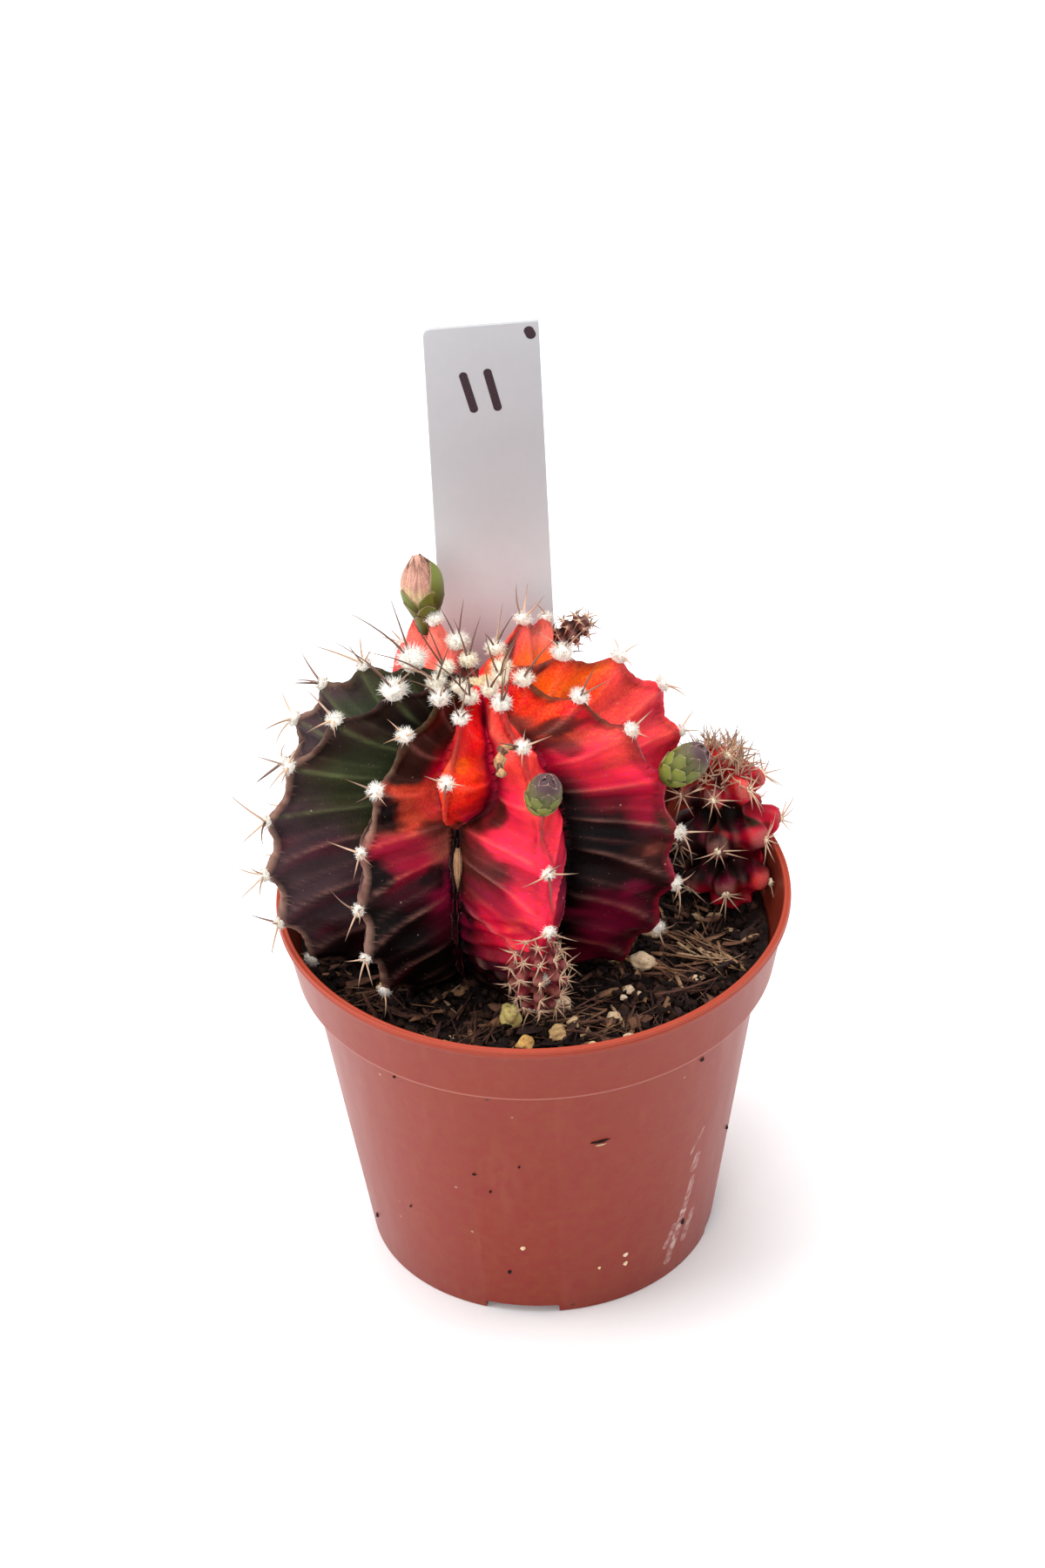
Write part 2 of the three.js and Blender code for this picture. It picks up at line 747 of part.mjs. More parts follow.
const rightPlace = leaning(PUP_RIGHT.foot, PUP_RIGHT.leanRight, PUP_RIGHT.leanBack);
const frontPlace = leaning(PUP_FRONT.foot, PUP_FRONT.leanRight, PUP_FRONT.leanBack);
const backPlace = standing(backSeat, backAim);

// The dried flower hangs from the front rib's second areole, over its left flank.
const curlSeat = areoleOn(FRONT, 1);
const curl = new THREE.CatmullRomCurve3(
  DRIED.bends.map(([left, down, out]) =>
    curlSeat.at
      .clone()
      .addScaledVector(curlSeat.side, -left)
      .addScaledVector(curlSeat.down, down)
      .addScaledVector(curlSeat.out, out),
  ),
);

// The middle of a piece that grows from a seat.
function middleOf(seat, aim, piece) {
  return seat.clone().addScaledVector(aim, piece.height / 2);
}

keepClear(middleOf(frontSeat.at, frontAim, BUD), BUD.height * BALLS.bud);
keepClear(middleOf(rightSeat, rightAim, BUD_RIGHT), BUD_RIGHT.height * BALLS.budRight);
keepClear(middleOf(spentSeat, spentAim, SPENT), SPENT.height * BALLS.spent);
keepClear(middleOf(backSeat, backAim, PUP_BACK), PUP_BACK.height * BALLS.pupBack);
const frontMiddle = new THREE.Vector3(0, 0, PUP_FRONT.height / 2).applyMatrix4(frontPlace);
keepClear(frontMiddle, BALLS.pupFront);
for (const share of [0.4, 0.7, 1]) {
  keepClear(curl.getPoint(share), BALLS.curl);
}
for (const share of [0.25, 0.5, 0.75]) {
  const centre = new THREE.Vector3(0, 0, PUP_RIGHT.height * share).applyMatrix4(rightPlace);
  keepClear(centre, PUP_RIGHT.width / 2 + BALLS.pupRight);
}

const bodyClearance = solid(bodySkin(GAP));
const pupClearance = joined([
  solid(pupSkin(PUP_RIGHT, rightPlace, GAP)),
  solid(pupSkin(PUP_FRONT, frontPlace, GAP)),
]);

// ---- Assembly: the pieces ----

// The short thick root under the plant.
function rootShape(grow) {
  const root = new THREE.ConeGeometry(BODY.rootRadius + grow, BODY.root + 3 * grow, 12, 1);
  root.rotateX(-90 * DEG);
  const top = BODY.centre.z - BODY.fall + 2;
  root.translate(BODY.centre.x, BODY.centre.y, top - BODY.root / 2);
  return solid(root);
}

function bodyShape() {
  const random = seeded(7);
  const shapes = [solid(bodySkin(0)).subtract(pupClearance), rootShape(0)];
  RIBS.forEach((rib, index) => {
    for (const areole of areolesOf(index).filter(({ at }) => clearOfAll(at))) {
      const bare = (rib.bare || []).includes(areole.order);
      shapes.push(...areoleShapes({ ...areole, bare }, BODY, random, clearOfAll));
    }
  });
  return largest(joined(shapes));
}

// An offset that grows beside the body, cut back where its wool or spines would reach into it.
function besideBody(pup, place, seed) {
  const seat = bodyClearance.subtract(solid(pupSkin(pup, place, GAP / 2)));
  return largest(pupShape(pup, place, seed, clearOfBody).subtract(seat));
}

// A piece that stands on the body's skin, cut to it.
function onBody(shape) {
  return largest(shape.subtract(bodyClearance));
}

// A thin curled strip of dried petals.
function driedShape() {
  const section = new THREE.Shape();
  section.absellipse(0, 0, DRIED.width / 2, DRIED.thickness / 2, 0, 2 * Math.PI);
  const options = { steps: 7, extrudePath: curl, curveSegments: 3 };
  return solid(new THREE.ExtrudeGeometry(section, options));
}

const soilHoles = [bodyClearance, pupClearance, rootShape(GAP), labelShape(GAP)];
const backPup = pupShape(PUP_BACK, backPlace, 13, clearOfBody);
const budGreen = 0x6f7b45;

const group = new THREE.Group();
group.add(node("pot", potShape(), 0x9b5147, 0.45));
group.add(node("soil", soilShape(soilHoles), 0x2c1e16, 0.95));
group.add(node("cactus_body", bodyShape(), 0xa33038, 0.55));
group.add(node("pup_right", besideBody(PUP_RIGHT, rightPlace, 11), 0x8e2f3a, 0.6));
group.add(node("pup_front", besideBody(PUP_FRONT, frontPlace, 12), 0x9a5560, 0.6));
group.add(node("pup_back", onBody(backPup), 0x5e343a, 0.7));
group.add(node("bud_front", onBody(budShape(BUD, standing(frontSeat.at, frontAim))), budGreen, 0.5));
group.add(node("bud_right", onBody(budShape(BUD_RIGHT, standing(rightSeat, rightAim))), budGreen, 0.5));
group.add(node("bud_spent", onBody(budShape(SPENT, standing(spentSeat, spentAim))), 0x7c8452, 0.6));
group.add(node("dried_flower", onBody(driedShape()), 0x7a5b2c, 0.8));
group.add(node("plant_label", labelShape(0), 0xd8d6da, 0.4));

export default group;
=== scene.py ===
"""A variegated chin cactus on its own roots in a small nursery pot, with three offsets, flower
buds and a plant label. Metres, +Z up, origin under the middle of the pot; -Y is the front.
Lengths in the tables below are in millimetres, and MM turns them into metres."""

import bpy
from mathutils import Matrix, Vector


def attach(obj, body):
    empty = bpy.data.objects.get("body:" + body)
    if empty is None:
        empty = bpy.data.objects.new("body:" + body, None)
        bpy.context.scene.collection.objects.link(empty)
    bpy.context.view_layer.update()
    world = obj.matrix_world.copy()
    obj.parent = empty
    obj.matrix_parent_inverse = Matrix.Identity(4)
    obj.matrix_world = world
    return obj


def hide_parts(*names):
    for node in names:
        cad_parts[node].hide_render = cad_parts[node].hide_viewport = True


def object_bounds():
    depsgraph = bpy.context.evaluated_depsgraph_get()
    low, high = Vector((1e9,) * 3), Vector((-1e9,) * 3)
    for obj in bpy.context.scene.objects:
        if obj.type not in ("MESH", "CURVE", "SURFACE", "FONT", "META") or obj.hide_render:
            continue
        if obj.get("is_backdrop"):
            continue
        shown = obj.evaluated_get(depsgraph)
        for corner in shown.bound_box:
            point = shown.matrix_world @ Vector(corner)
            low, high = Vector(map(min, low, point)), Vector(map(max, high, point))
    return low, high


bl_info = {
    "name": "Potted chin cactus",
    "version": (1, 0, 0),
    "blender": (4, 5, 0),
    "location": "View3D > Sidebar > Cactus",
    "description": "Builds a potted, variegated chin cactus round its packed model",
    "category": "Add Mesh",
}

import math
import random
from types import SimpleNamespace

import bmesh
import bpy
import numpy as np
from mathutils import Matrix, Vector, noise
from mathutils.bvhtree import BVHTree

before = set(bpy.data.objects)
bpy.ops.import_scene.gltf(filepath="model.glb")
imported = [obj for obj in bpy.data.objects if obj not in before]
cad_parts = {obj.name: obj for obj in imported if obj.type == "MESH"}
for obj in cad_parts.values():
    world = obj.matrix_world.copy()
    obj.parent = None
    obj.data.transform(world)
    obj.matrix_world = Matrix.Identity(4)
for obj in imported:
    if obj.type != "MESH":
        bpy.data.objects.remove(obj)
cad_low, cad_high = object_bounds()

MM = 0.001
TAU = 2 * math.pi


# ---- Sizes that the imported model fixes, in millimetres and degrees ----

POT = SimpleNamespace(
    height=66.5, rim_radius=42.5, lip_width=1.2, lip_height=1.7, band_height=12.1,
    band_top_radius=41.7, band_radius=39.8, neck_radius=37.5, base_radius=28.8, wall=1.1, ledge=0.9,
    floor=1.4, foot_height=1.6, foot_width=1.5, pad_radius=9, notch_width=12.3, notches=4,
    notch_turn=-98, drain_radius=2.6, drain_circle=18, drains=8,
)
RIM_INNER = POT.rim_radius - POT.lip_width
BAND_INNER = POT.band_radius - POT.wall
NECK_INNER = POT.neck_radius - POT.wall
BASE_INNER = POT.base_radius - POT.wall
BAND_FOOT = POT.height - POT.band_height
FLOOR_TOP = POT.foot_height + POT.floor

SOIL_LEVEL = 57.0
SOIL_ROUGHNESS = 0.7
SOIL_EDGE = 38.6

BODY = SimpleNamespace(
    centre=Vector((-8.5, 1.9, 83.5)), lean_right=1.7, lean_back=3.9, radius=35.5, rise=25.3,
    fall=29.6, squareness=0.57, groove_radius=20, groove_rise=19.5, groove_squareness=0.75,
    groove_opening=15, crown_dip=1.6, scallop=1.9, chin_swell=0.45, bulge=0.07, crest=0.05,
    soil_length=84,
)


def rib(azimuth, reach, first, spacing, bare=(), end=None, spread=1):
    """One rib: where it stands round the plant, how far its crest reaches, and its areoles."""
    return SimpleNamespace(**locals())


# Ribs round the plant, from +X towards +Y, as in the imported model.
RIBS = [
    rib(22, 1.02, 4, 10.3),
    rib(67, 1.02, 7, 11.6),
    rib(111, 1, 9, 10, bare=(2,)),
    rib(165, 0.92, 12, 8.9),
    rib(203, 1.06, 14, 10.1),
    rib(233.8, 0.93, 11.4, 10.5),
    rib(258, 0.97, 14.8, 13.2, end=39, spread=2),
    rib(288.6, 0.95, 11.5, 10.7, bare=(2,)),
    rib(337.1, 0.98, 8, 9.9, bare=(3,)),
]
RIGHT, BACK_RIGHT, BACK_LEFT, LEFT_BACK, LEFT, LEFT_FRONT, SHORT, FRONT, RIGHT_FRONT = range(9)


# The offsets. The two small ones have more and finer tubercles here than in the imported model.
PUP_RIGHT = SimpleNamespace(
    foot=Vector((34.4, 9.8, 56)), lean_right=-8, lean_back=12, width=19.2, height=27.5, pear=0.5,
    ribs=7, tiers=4, rib_relief=0.09, tier_relief=0.1, wool=0.75, spine=4.4, spines=9,
)
PUP_FRONT = SimpleNamespace(
    foot=Vector((0.3, -26.3, 63.4)), lean_right=0, lean_back=-3, width=9, height=13.4, pear=0.1,
    ribs=8, tiers=5, rib_relief=0.16, tier_relief=0.13, wool=0.4, spine=2.9, spines=8,
)
PUP_BACK = SimpleNamespace(
    width=4.2, height=7.2, pear=-0.25, ribs=8, tiers=4, rib_relief=0.08, tier_relief=0.06,
    wool=0.3, spine=3, spines=4,
)

BUD = SimpleNamespace(width=6.2, height=8.4)
BUD_RIGHT = SimpleNamespace(width=6.6, height=9.2)
SPENT = SimpleNamespace(width=6.2, height=15, crest_length=23.4)
DRIED_BENDS = [(1.4, -0.3, 0.7), (3.4, 0.2, 1.5), (4.7, 2.4, 1.2), (5.1, 5.4, 1.6)]

LABEL = SimpleNamespace(
    width=19, thickness=0.8, length=106.5, point=12, corner=1.4, tip=Vector((-3.7, 31.8, 44)),
    lean_left=1.1, lean_back=6, turn=4,
)


# ---- Small sums ----


def smoothstep(low, high, value):
    share = np.clip((value - low) / (high - low), 0, 1)
    return share * share * (3 - 2 * share)


def mix(start, end, share):
    return start + (end - start) * share


def bell(distance, width):
    return np.exp(-((distance / width) ** 2))


def unit(vectors):
    vectors = np.asarray(vectors, float)
    return vectors / np.maximum(np.linalg.norm(vectors, axis=-1, keepdims=True), 1e-9)


def linear(code):
    """A linear colour from a web colour such as '#c94a3c'."""
    parts = [int(code[place : place + 2], 16) / 255 for place in (1, 3, 5)]
    return tuple(part / 12.92 if part < 0.04 else ((part + 0.055) / 1.055) ** 2.4 for part in parts)


def ripple(points, size, seed=0.0):
    """Smooth noise from -1 to 1 at many points, with bumps about as wide as size."""
    scaled = np.asarray(points, float) / size + seed
    return np.array([noise.noise(Vector(point)) for point in scaled])


def leaning(place, lean_right, lean_back):
    """The transform of a piece that leans by two angles in degrees, in millimetres."""
    right = Matrix.Rotation(math.radians(lean_right), 4, "Y")
    back = Matrix.Rotation(math.radians(-lean_back), 4, "X")
    return Matrix.Translation(place) @ right @ back


def standing(seat, aim):
    """The transform that stands a piece made along +Z on a seat, along a direction."""
    turn = Vector((0, 0, 1)).rotation_difference(Vector(aim).normalized())
    return Matrix.Translation(seat) @ turn.to_matrix().to_4x4()


def moved(matrix, points):
    """Many points through a 4 x 4 matrix."""
    matrix = np.array(matrix)
    return np.asarray(points, float) @ matrix[:3, :3].T + matrix[:3, 3]


def facing(aims, ups, spots, sizes):
    """A 4 x 4 matrix for each spot: +Z along its aim, +X near its up, scaled by its sizes."""
    aims = unit(aims)
    side = unit(np.cross(ups, aims))
    front = np.cross(aims, side)
    sizes = np.asarray(sizes, float)
    if sizes.ndim == 1:
        sizes = np.repeat(sizes[:, None], 3, axis=1)
    places = np.zeros((len(aims), 4, 4))
    places[:, :3, 0] = front * sizes[:, :1]
    places[:, :3, 1] = side * sizes[:, 1:2]
    places[:, :3, 2] = aims * sizes[:, 2:]
    places[:, :3, 3] = spots
    places[:, 3, 3] = 1
    return places


# ---- The body's skin ----

BODY_PLACE = leaning(BODY.centre, BODY.lean_right, BODY.lean_back)
AZIMUTHS = np.array([one.azimuth for one in RIBS], float)
REACHES = np.array([one.reach for one in RIBS], float)
FIRSTS = np.array([one.first for one in RIBS], float)
SPACINGS = np.array([one.spacing for one in RIBS], float)
SPREADS = np.array([one.spread for one in RIBS], float)
NEVER = 1e6
ENDS = np.array([one.end or NEVER for one in RIBS], float)


def crest_at(latitude, reach):
    """Radius and height of a crest at a latitude, with its outward normal."""
    cosine = np.maximum(np.cos(latitude), 0)
    height = np.where(latitude > 0, BODY.rise, BODY.fall)
    radius = BODY.radius * reach * cosine**BODY.squareness
    out = cosine / BODY.radius
    up = np.sin(latitude) / height
    size = np.hypot(out, up)
    return radius, height * np.sin(latitude), out / size, up / size


LATITUDES = np.radians(np.linspace(90, -90, 721))
_radii, _heights = crest_at(LATITUDES, 1)[:2]
_runs = np.hypot(np.diff(_radii), np.diff(_heights))
LENGTHS = np.concatenate([[0], np.cumsum(_runs)])
CREST_END = LENGTHS[-1]


def presence(index, length):
    """How much of a rib is left at a length: all of it, but for the short rib past its end."""
    fading = 1 - smoothstep(ENDS[index] - 7, ENDS[index] + 2, length)
    return np.maximum(0.02, fading)


def groove_after(index, length):
    """The groove between a rib and the next, in degrees past the rib's azimuth."""
    following = (index + 1) % len(RIBS)
    apart = (AZIMUTHS[following] - AZIMUTHS[index]) % 360
    own = presence(index, length) * SPREADS[index]
    return apart * own / (own + presence(following, length))


def scallop_at(index, length):
    return np.abs(np.sin(math.pi * (length - FIRSTS[index]) / SPACINGS[index]))


def clear_of_rim(points):
    """The pot's rim presses in what grows against it."""
    limit = RIM_INNER - 0.8 + np.maximum(-8, points[:, 2] - POT.height) * 0.5
    radius = np.hypot(points[:, 0], points[:, 1])
    close = (points[:, 2] < POT.height + 14) & (radius > limit)
    share = np.where(close, limit / np.maximum(radius, 1e-6), 1)
    points[:, 0] *= share
    points[:, 1] *= share
    return points


def skin_at(index, across, length):
    """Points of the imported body's skin: across runs from -1 to 1 between a rib's grooves."""
    index = np.asarray(index, int)
    across = np.asarray(across, float)
    length = np.asarray(length, float)
    index, across, length = np.broadcast_arrays(index, across, length)
    before = (index - 1) % len(RIBS)
    latitude = np.interp(length, LENGTHS, LATITUDES)
    radius, rise, out, up = crest_at(latitude, REACHES[index])
    opened = smoothstep(0, BODY.groove_opening, length)
    depth = np.where(latitude > 0, BODY.groove_rise, BODY.fall) * np.sin(latitude)
    cosine = np.maximum(0, np.cos(latitude))
    hollow = BODY.groove_radius * cosine**BODY.groove_squareness
    scallop = scallop_at(index, length)
    dip = BODY.scallop * scallop**1.3 * smoothstep(3, 12, length)
    dip = dip * (1 - smoothstep(84, 100, length))
    left = presence(index, length)
    foot_radius = mix(radius, hollow, opened)
    foot_height = mix(rise, depth, opened)
    top_radius = mix(foot_radius, radius - dip * out, left)
    top_height = mix(foot_height, rise - dip * up, left)
    apart = (AZIMUTHS[index] - AZIMUTHS[before]) % 360
    half = np.where(across < 0, apart - groove_after(before, length), groove_after(index, length))
    share = np.maximum(0, (np.abs(across) - BODY.crest) / (1 - BODY.crest))
    span = np.radians(half * (1 - BODY.crest))
    chord = top_radius * np.sin(share * span) + foot_radius * np.sin((1 - share) * span)
    flat = top_radius * foot_radius * np.sin(span) / np.maximum(chord, 1e-6)
    swell = BODY.bulge + BODY.chin_swell / BODY.radius * (1 - 2 * scallop)
    reach = flat * (1 + 4 * share * (1 - share) * swell * opened * left)
    drop = (top_radius - flat) / np.maximum(0.01, top_radius - foot_radius)
    dipped = BODY.crown_dip * (1 - smoothstep(0, 9, length))
    height = mix(top_height, foot_height, np.clip(drop, 0, 1)) - dipped
    angle = np.radians(AZIMUTHS[index] + across * half)
    reach = np.where(cosine < 1e-6, 0, reach)
    points = np.stack([reach * np.cos(angle), reach * np.sin(angle), height], axis=-1)
    return clear_of_rim(moved(BODY_PLACE, points.reshape(-1, 3)))


def normals_at(surface, first, second, step_first, step_second, centre):
    """Outward normals of a surface given by two numbers, by small steps of each."""
    along_first = surface(first + step_first, second) - surface(first - step_first, second)
    along_second = surface(first, second + step_second) - surface(first, second - step_second)
    normals = unit(np.cross(along_first, along_second))
    outward = np.sum(normals * (surface(first, second) - centre), axis=1)
    return normals * np.where(outward < 0, -1, 1)[:, None]


def areoles_of(index):
    """The areoles of one rib: their places and directions, in millimetres."""
    one = RIBS[index]
    lengths = [(one.first + order * one.spacing, order) for order in range(9)]
    if one.first > 7:
        lengths.insert(0, (one.first * 0.5, -1))
    lowest = one.end - 8 if one.end else BODY.soil_length
    found = []
    for length, order in lengths:
        if length >= lowest:
            continue
        at, above, below = skin_at(index, 0, np.array([length, length - 1.5, length + 1.5]))
        down = unit(below - above)
        angle = math.radians(one.azimuth)
        side = np.array([-math.sin(angle), math.cos(angle), 0])
        out = unit(np.cross(side, down))
        if np.dot(out, at - np.array(BODY.centre)) < 0:
            out = -out
        if at[2] > SOIL_LEVEL + 4:
            found.append(
                SimpleNamespace(
                    at=at, down=down, side=side, out=out, length=length, order=order, rib=index
                )
            )
    return found


def areole_on(index, order):
    return next(one for one in areoles_of(index) if one.order == order)


def offset_at(sizes, place, around, from_top):
    """Points of an offset's skin, with tubercles where its ribs and tiers cross."""
    around, from_top = np.broadcast_arrays(np.asarray(around, float), np.asarray(from_top, float))
    polar = from_top * math.pi
    fade = np.sin(polar)
    ribbing = np.cos(around * sizes.ribs * TAU)
    tiers = -np.cos(from_top * (sizes.tiers + 1) * TAU)
    swell = 1 + fade * (sizes.rib_relief * (ribbing - 1) + sizes.tier_relief * (tiers - 1))
    pear = 1 + sizes.pear * (from_top - 0.68)
    radius = sizes.width / 2 * np.maximum(fade, 0) ** 0.8 * swell * pear
    height = sizes.height * (0.5 + 0.5 * np.cos(polar))
    angle = around * TAU
    points = np.stack([radius * np.cos(angle), radius * np.sin(angle), height], axis=-1)
    return clear_of_rim(moved(place, points.reshape(-1, 3)))


def soil_height(x, y):
    long = np.sin(x * 0.31 + 1.3) * np.cos(y * 0.27 - 0.4)
    short = np.sin(x * 0.83 + y * 0.61) * np.cos(y * 0.94 - x * 0.35 + 2)
    return SOIL_LEVEL + SOIL_ROUGHNESS * (0.8 * long + 0.7 * short)


# Where the pieces on the body stand, and which way they grow.
FRONT_SEAT = areole_on(FRONT, 2)
FRONT_AIM = unit(FRONT_SEAT.out + np.array([0.2, 0, 1.3]))
RIGHT_SEAT = areole_on(RIGHT_FRONT, 3)
RIGHT_AIM = unit([0.75, -0.05, 0.65])
SPENT_SEAT = skin_at(BACK_LEFT, 0, SPENT.crest_length)[0]
SPENT_AIM = unit([-0.1, 0.05, 1])
BACK_SEAT = skin_at(BACK_RIGHT, -0.1, 34.0)[0]
BACK_AIM = unit([0.88, 0.28, 0.45])
RIGHT_PLACE = leaning(PUP_RIGHT.foot, PUP_RIGHT.lean_right, PUP_RIGHT.lean_back)
FRONT_PLACE = leaning(PUP_FRONT.foot, PUP_FRONT.lean_right, PUP_FRONT.lean_back)
BACK_PLACE = standing(BACK_SEAT, BACK_AIM)
CURL_SEAT = areole_on(FRONT, 1)


# ---- Making meshes ----


def piece(name, shape, material_name, slot, *nodes):
    """Turns a bmesh or mesh in millimetres into a finished piece of the plant."""
    if isinstance(shape, bmesh.types.BMesh):
        mesh = bpy.data.meshes.new(name)
        shape.to_mesh(mesh)
        shape.free()
    else:
        mesh = shape
        mesh.name = name
    mesh.transform(Matrix.Scale(MM, 4))
    mesh.materials.append(material(material_name))
    mesh.shade_smooth()
    made = bpy.data.objects.new(name, mesh)
    bpy.context.collection.objects.link(made)
    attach(made, "root")
    if nodes:
        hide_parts(*nodes)
    return made


def shaped_ball(columns, rows, place):
    """A UV sphere whose vertices are moved: place takes each one's column and row number."""
    shape = bmesh.new()
    bmesh.ops.create_uvsphere(shape, u_segments=columns, v_segments=rows, radius=1)
    at = np.array([vertex.co[:] for vertex in shape.verts])
    row = np.rint(np.arccos(np.clip(at[:, 2], -1, 1)) / math.pi * rows)
    column = np.rint(np.arctan2(at[:, 1], at[:, 0]) / TAU * columns) % columns
    column[(row == 0) | (row == rows)] = 0
    points = place(column, row)
    for vertex, point in zip(shape.verts, points):
        vertex.co = point
    bmesh.ops.recalc_face_normals(shape, faces=shape.faces)
    return shape


def painted(shape, colours, veins):
    """Stores a paint and the strength of the veins for every vertex of a bmesh."""
    paint = shape.verts.layers.float_color.new("paint")
    for vertex, colour in zip(shape.verts, colours):
        vertex[paint] = (*colour, 1)
    vein = shape.verts.layers.float.new("vein")
    for vertex, strength in zip(shape.verts, veins):
        vertex[vein] = strength


def only(kind, items):
    return [item for item in items if isinstance(item, kind)]


def drawn_out(shape, edges):
    """Extrudes edges, and gives the new vertices and edges, which still lie on the old ones."""
    made = bmesh.ops.extrude_edge_only(shape, edges=edges)["geom"]
    return only(bmesh.types.BMVert, made), only(bmesh.types.BMEdge, made)


def tapered(sides, steps, belly=0.0):
    """A thread from the origin to z = 1 that narrows to a point, made to be stamped."""
    shape = bmesh.new()
    ring = bmesh.ops.create_circle(shape, segments=sides, radius=1)["verts"]
    edges = shape.edges[:]
    bmesh.ops.contextual_create(shape, geom=ring)
    for step in range(1, steps + 1):
        ring, edges = drawn_out(shape, edges)
        share = step / steps
        radius = max(0.06, (1 - share) ** 0.7 + belly * math.sin(math.pi * share))
        for vertex in ring:
            flat = vertex.co.xy.normalized() * radius
            vertex.co = (flat.x, flat.y, share)
    bmesh.ops.contextual_create(shape, geom=ring)
    bmesh.ops.recalc_face_normals(shape, faces=shape.faces)
    return shape


def lump(divisions, squash, roughness, seed):
    """An irregular grain about one unit across, made to be stamped."""
    shape = bmesh.new()
    bmesh.ops.create_icosphere(shape, subdivisions=divisions, radius=0.5)
    for vertex in shape.verts:
        swell = 1 + roughness * noise.noise(vertex.co * 2.6 + Vector((seed, 0, 0)))
        vertex.co = [part * swell * flat for part, flat in zip(vertex.co, squash)]
    return shape


def stamped(templates, places, bends=None, tints=None, which=None):
    """One mesh with a copy of a template at each place.

    bends gives each copy a curve towards its own +X, tints gives it a number from 0 to 1, and
    which picks its template. The vertices keep the tint and how far along +Z they lie."""
    count = len(places)
    bends = np.zeros(count) if bends is None else np.asarray(bends, float)
    tints = np.zeros(count) if tints is None else np.asarray(tints, float)
    which = np.zeros(count, int) if which is None else np.asarray(which, int)
    points, corners, sizes, tint_list, along_list = [], [], [], [], []
    filled = 0
    for number, template in enumerate(templates):
        chosen = np.flatnonzero(which == number)
        base = np.array([vertex.co[:] for vertex in template.verts])
        loops = [vertex.index for face in template.faces for vertex in face.verts]
        lengths = [len(face.verts) for face in template.faces]
        template.free()
        if len(chosen) == 0:
            continue
        along = np.clip(base[:, 2], 0, 1)
        bent = np.repeat(base[None], len(chosen), axis=0)
        bent[:, :, 0] += bends[chosen, None] * along**2
        turned = np.einsum("nij,nvj->nvi", places[chosen][:, :3, :3], bent)
        turned += places[chosen][:, None, :3, 3]
        points.append(turned.reshape(-1, 3))
        starts = filled + np.arange(len(chosen)) * len(base)
        corners.append((np.array(loops)[None] + starts[:, None]).ravel())
        sizes.append(np.tile(lengths, len(chosen)))
        tint_list.append(np.repeat(tints[chosen], len(base)))
        along_list.append(np.tile(along, len(chosen)))
        filled += len(chosen) * len(base)
    points = np.concatenate(points)
    corners = np.concatenate(corners)
    sizes = np.concatenate(sizes)
    mesh = bpy.data.meshes.new("stamped")
    mesh.vertices.add(len(points))
    mesh.vertices.foreach_set("co", points.astype(np.float32).ravel())
    mesh.loops.add(len(corners))
    mesh.loops.foreach_set("vertex_index", corners.astype(np.int32))
    mesh.polygons.add(len(sizes))
    firsts = np.concatenate([[0], np.cumsum(sizes)[:-1]])
    mesh.polygons.foreach_set("loop_start", firsts.astype(np.int32))
    mesh.update(calc_edges=True)
    for name, values in (("tint", tint_list), ("along", along_list)):
        layer = mesh.attributes.new(name, "FLOAT", "POINT")
        layer.data.foreach_set("value", np.concatenate(values).astype(np.float32))
    mesh.validate()
    return mesh


# ---- Making materials ----


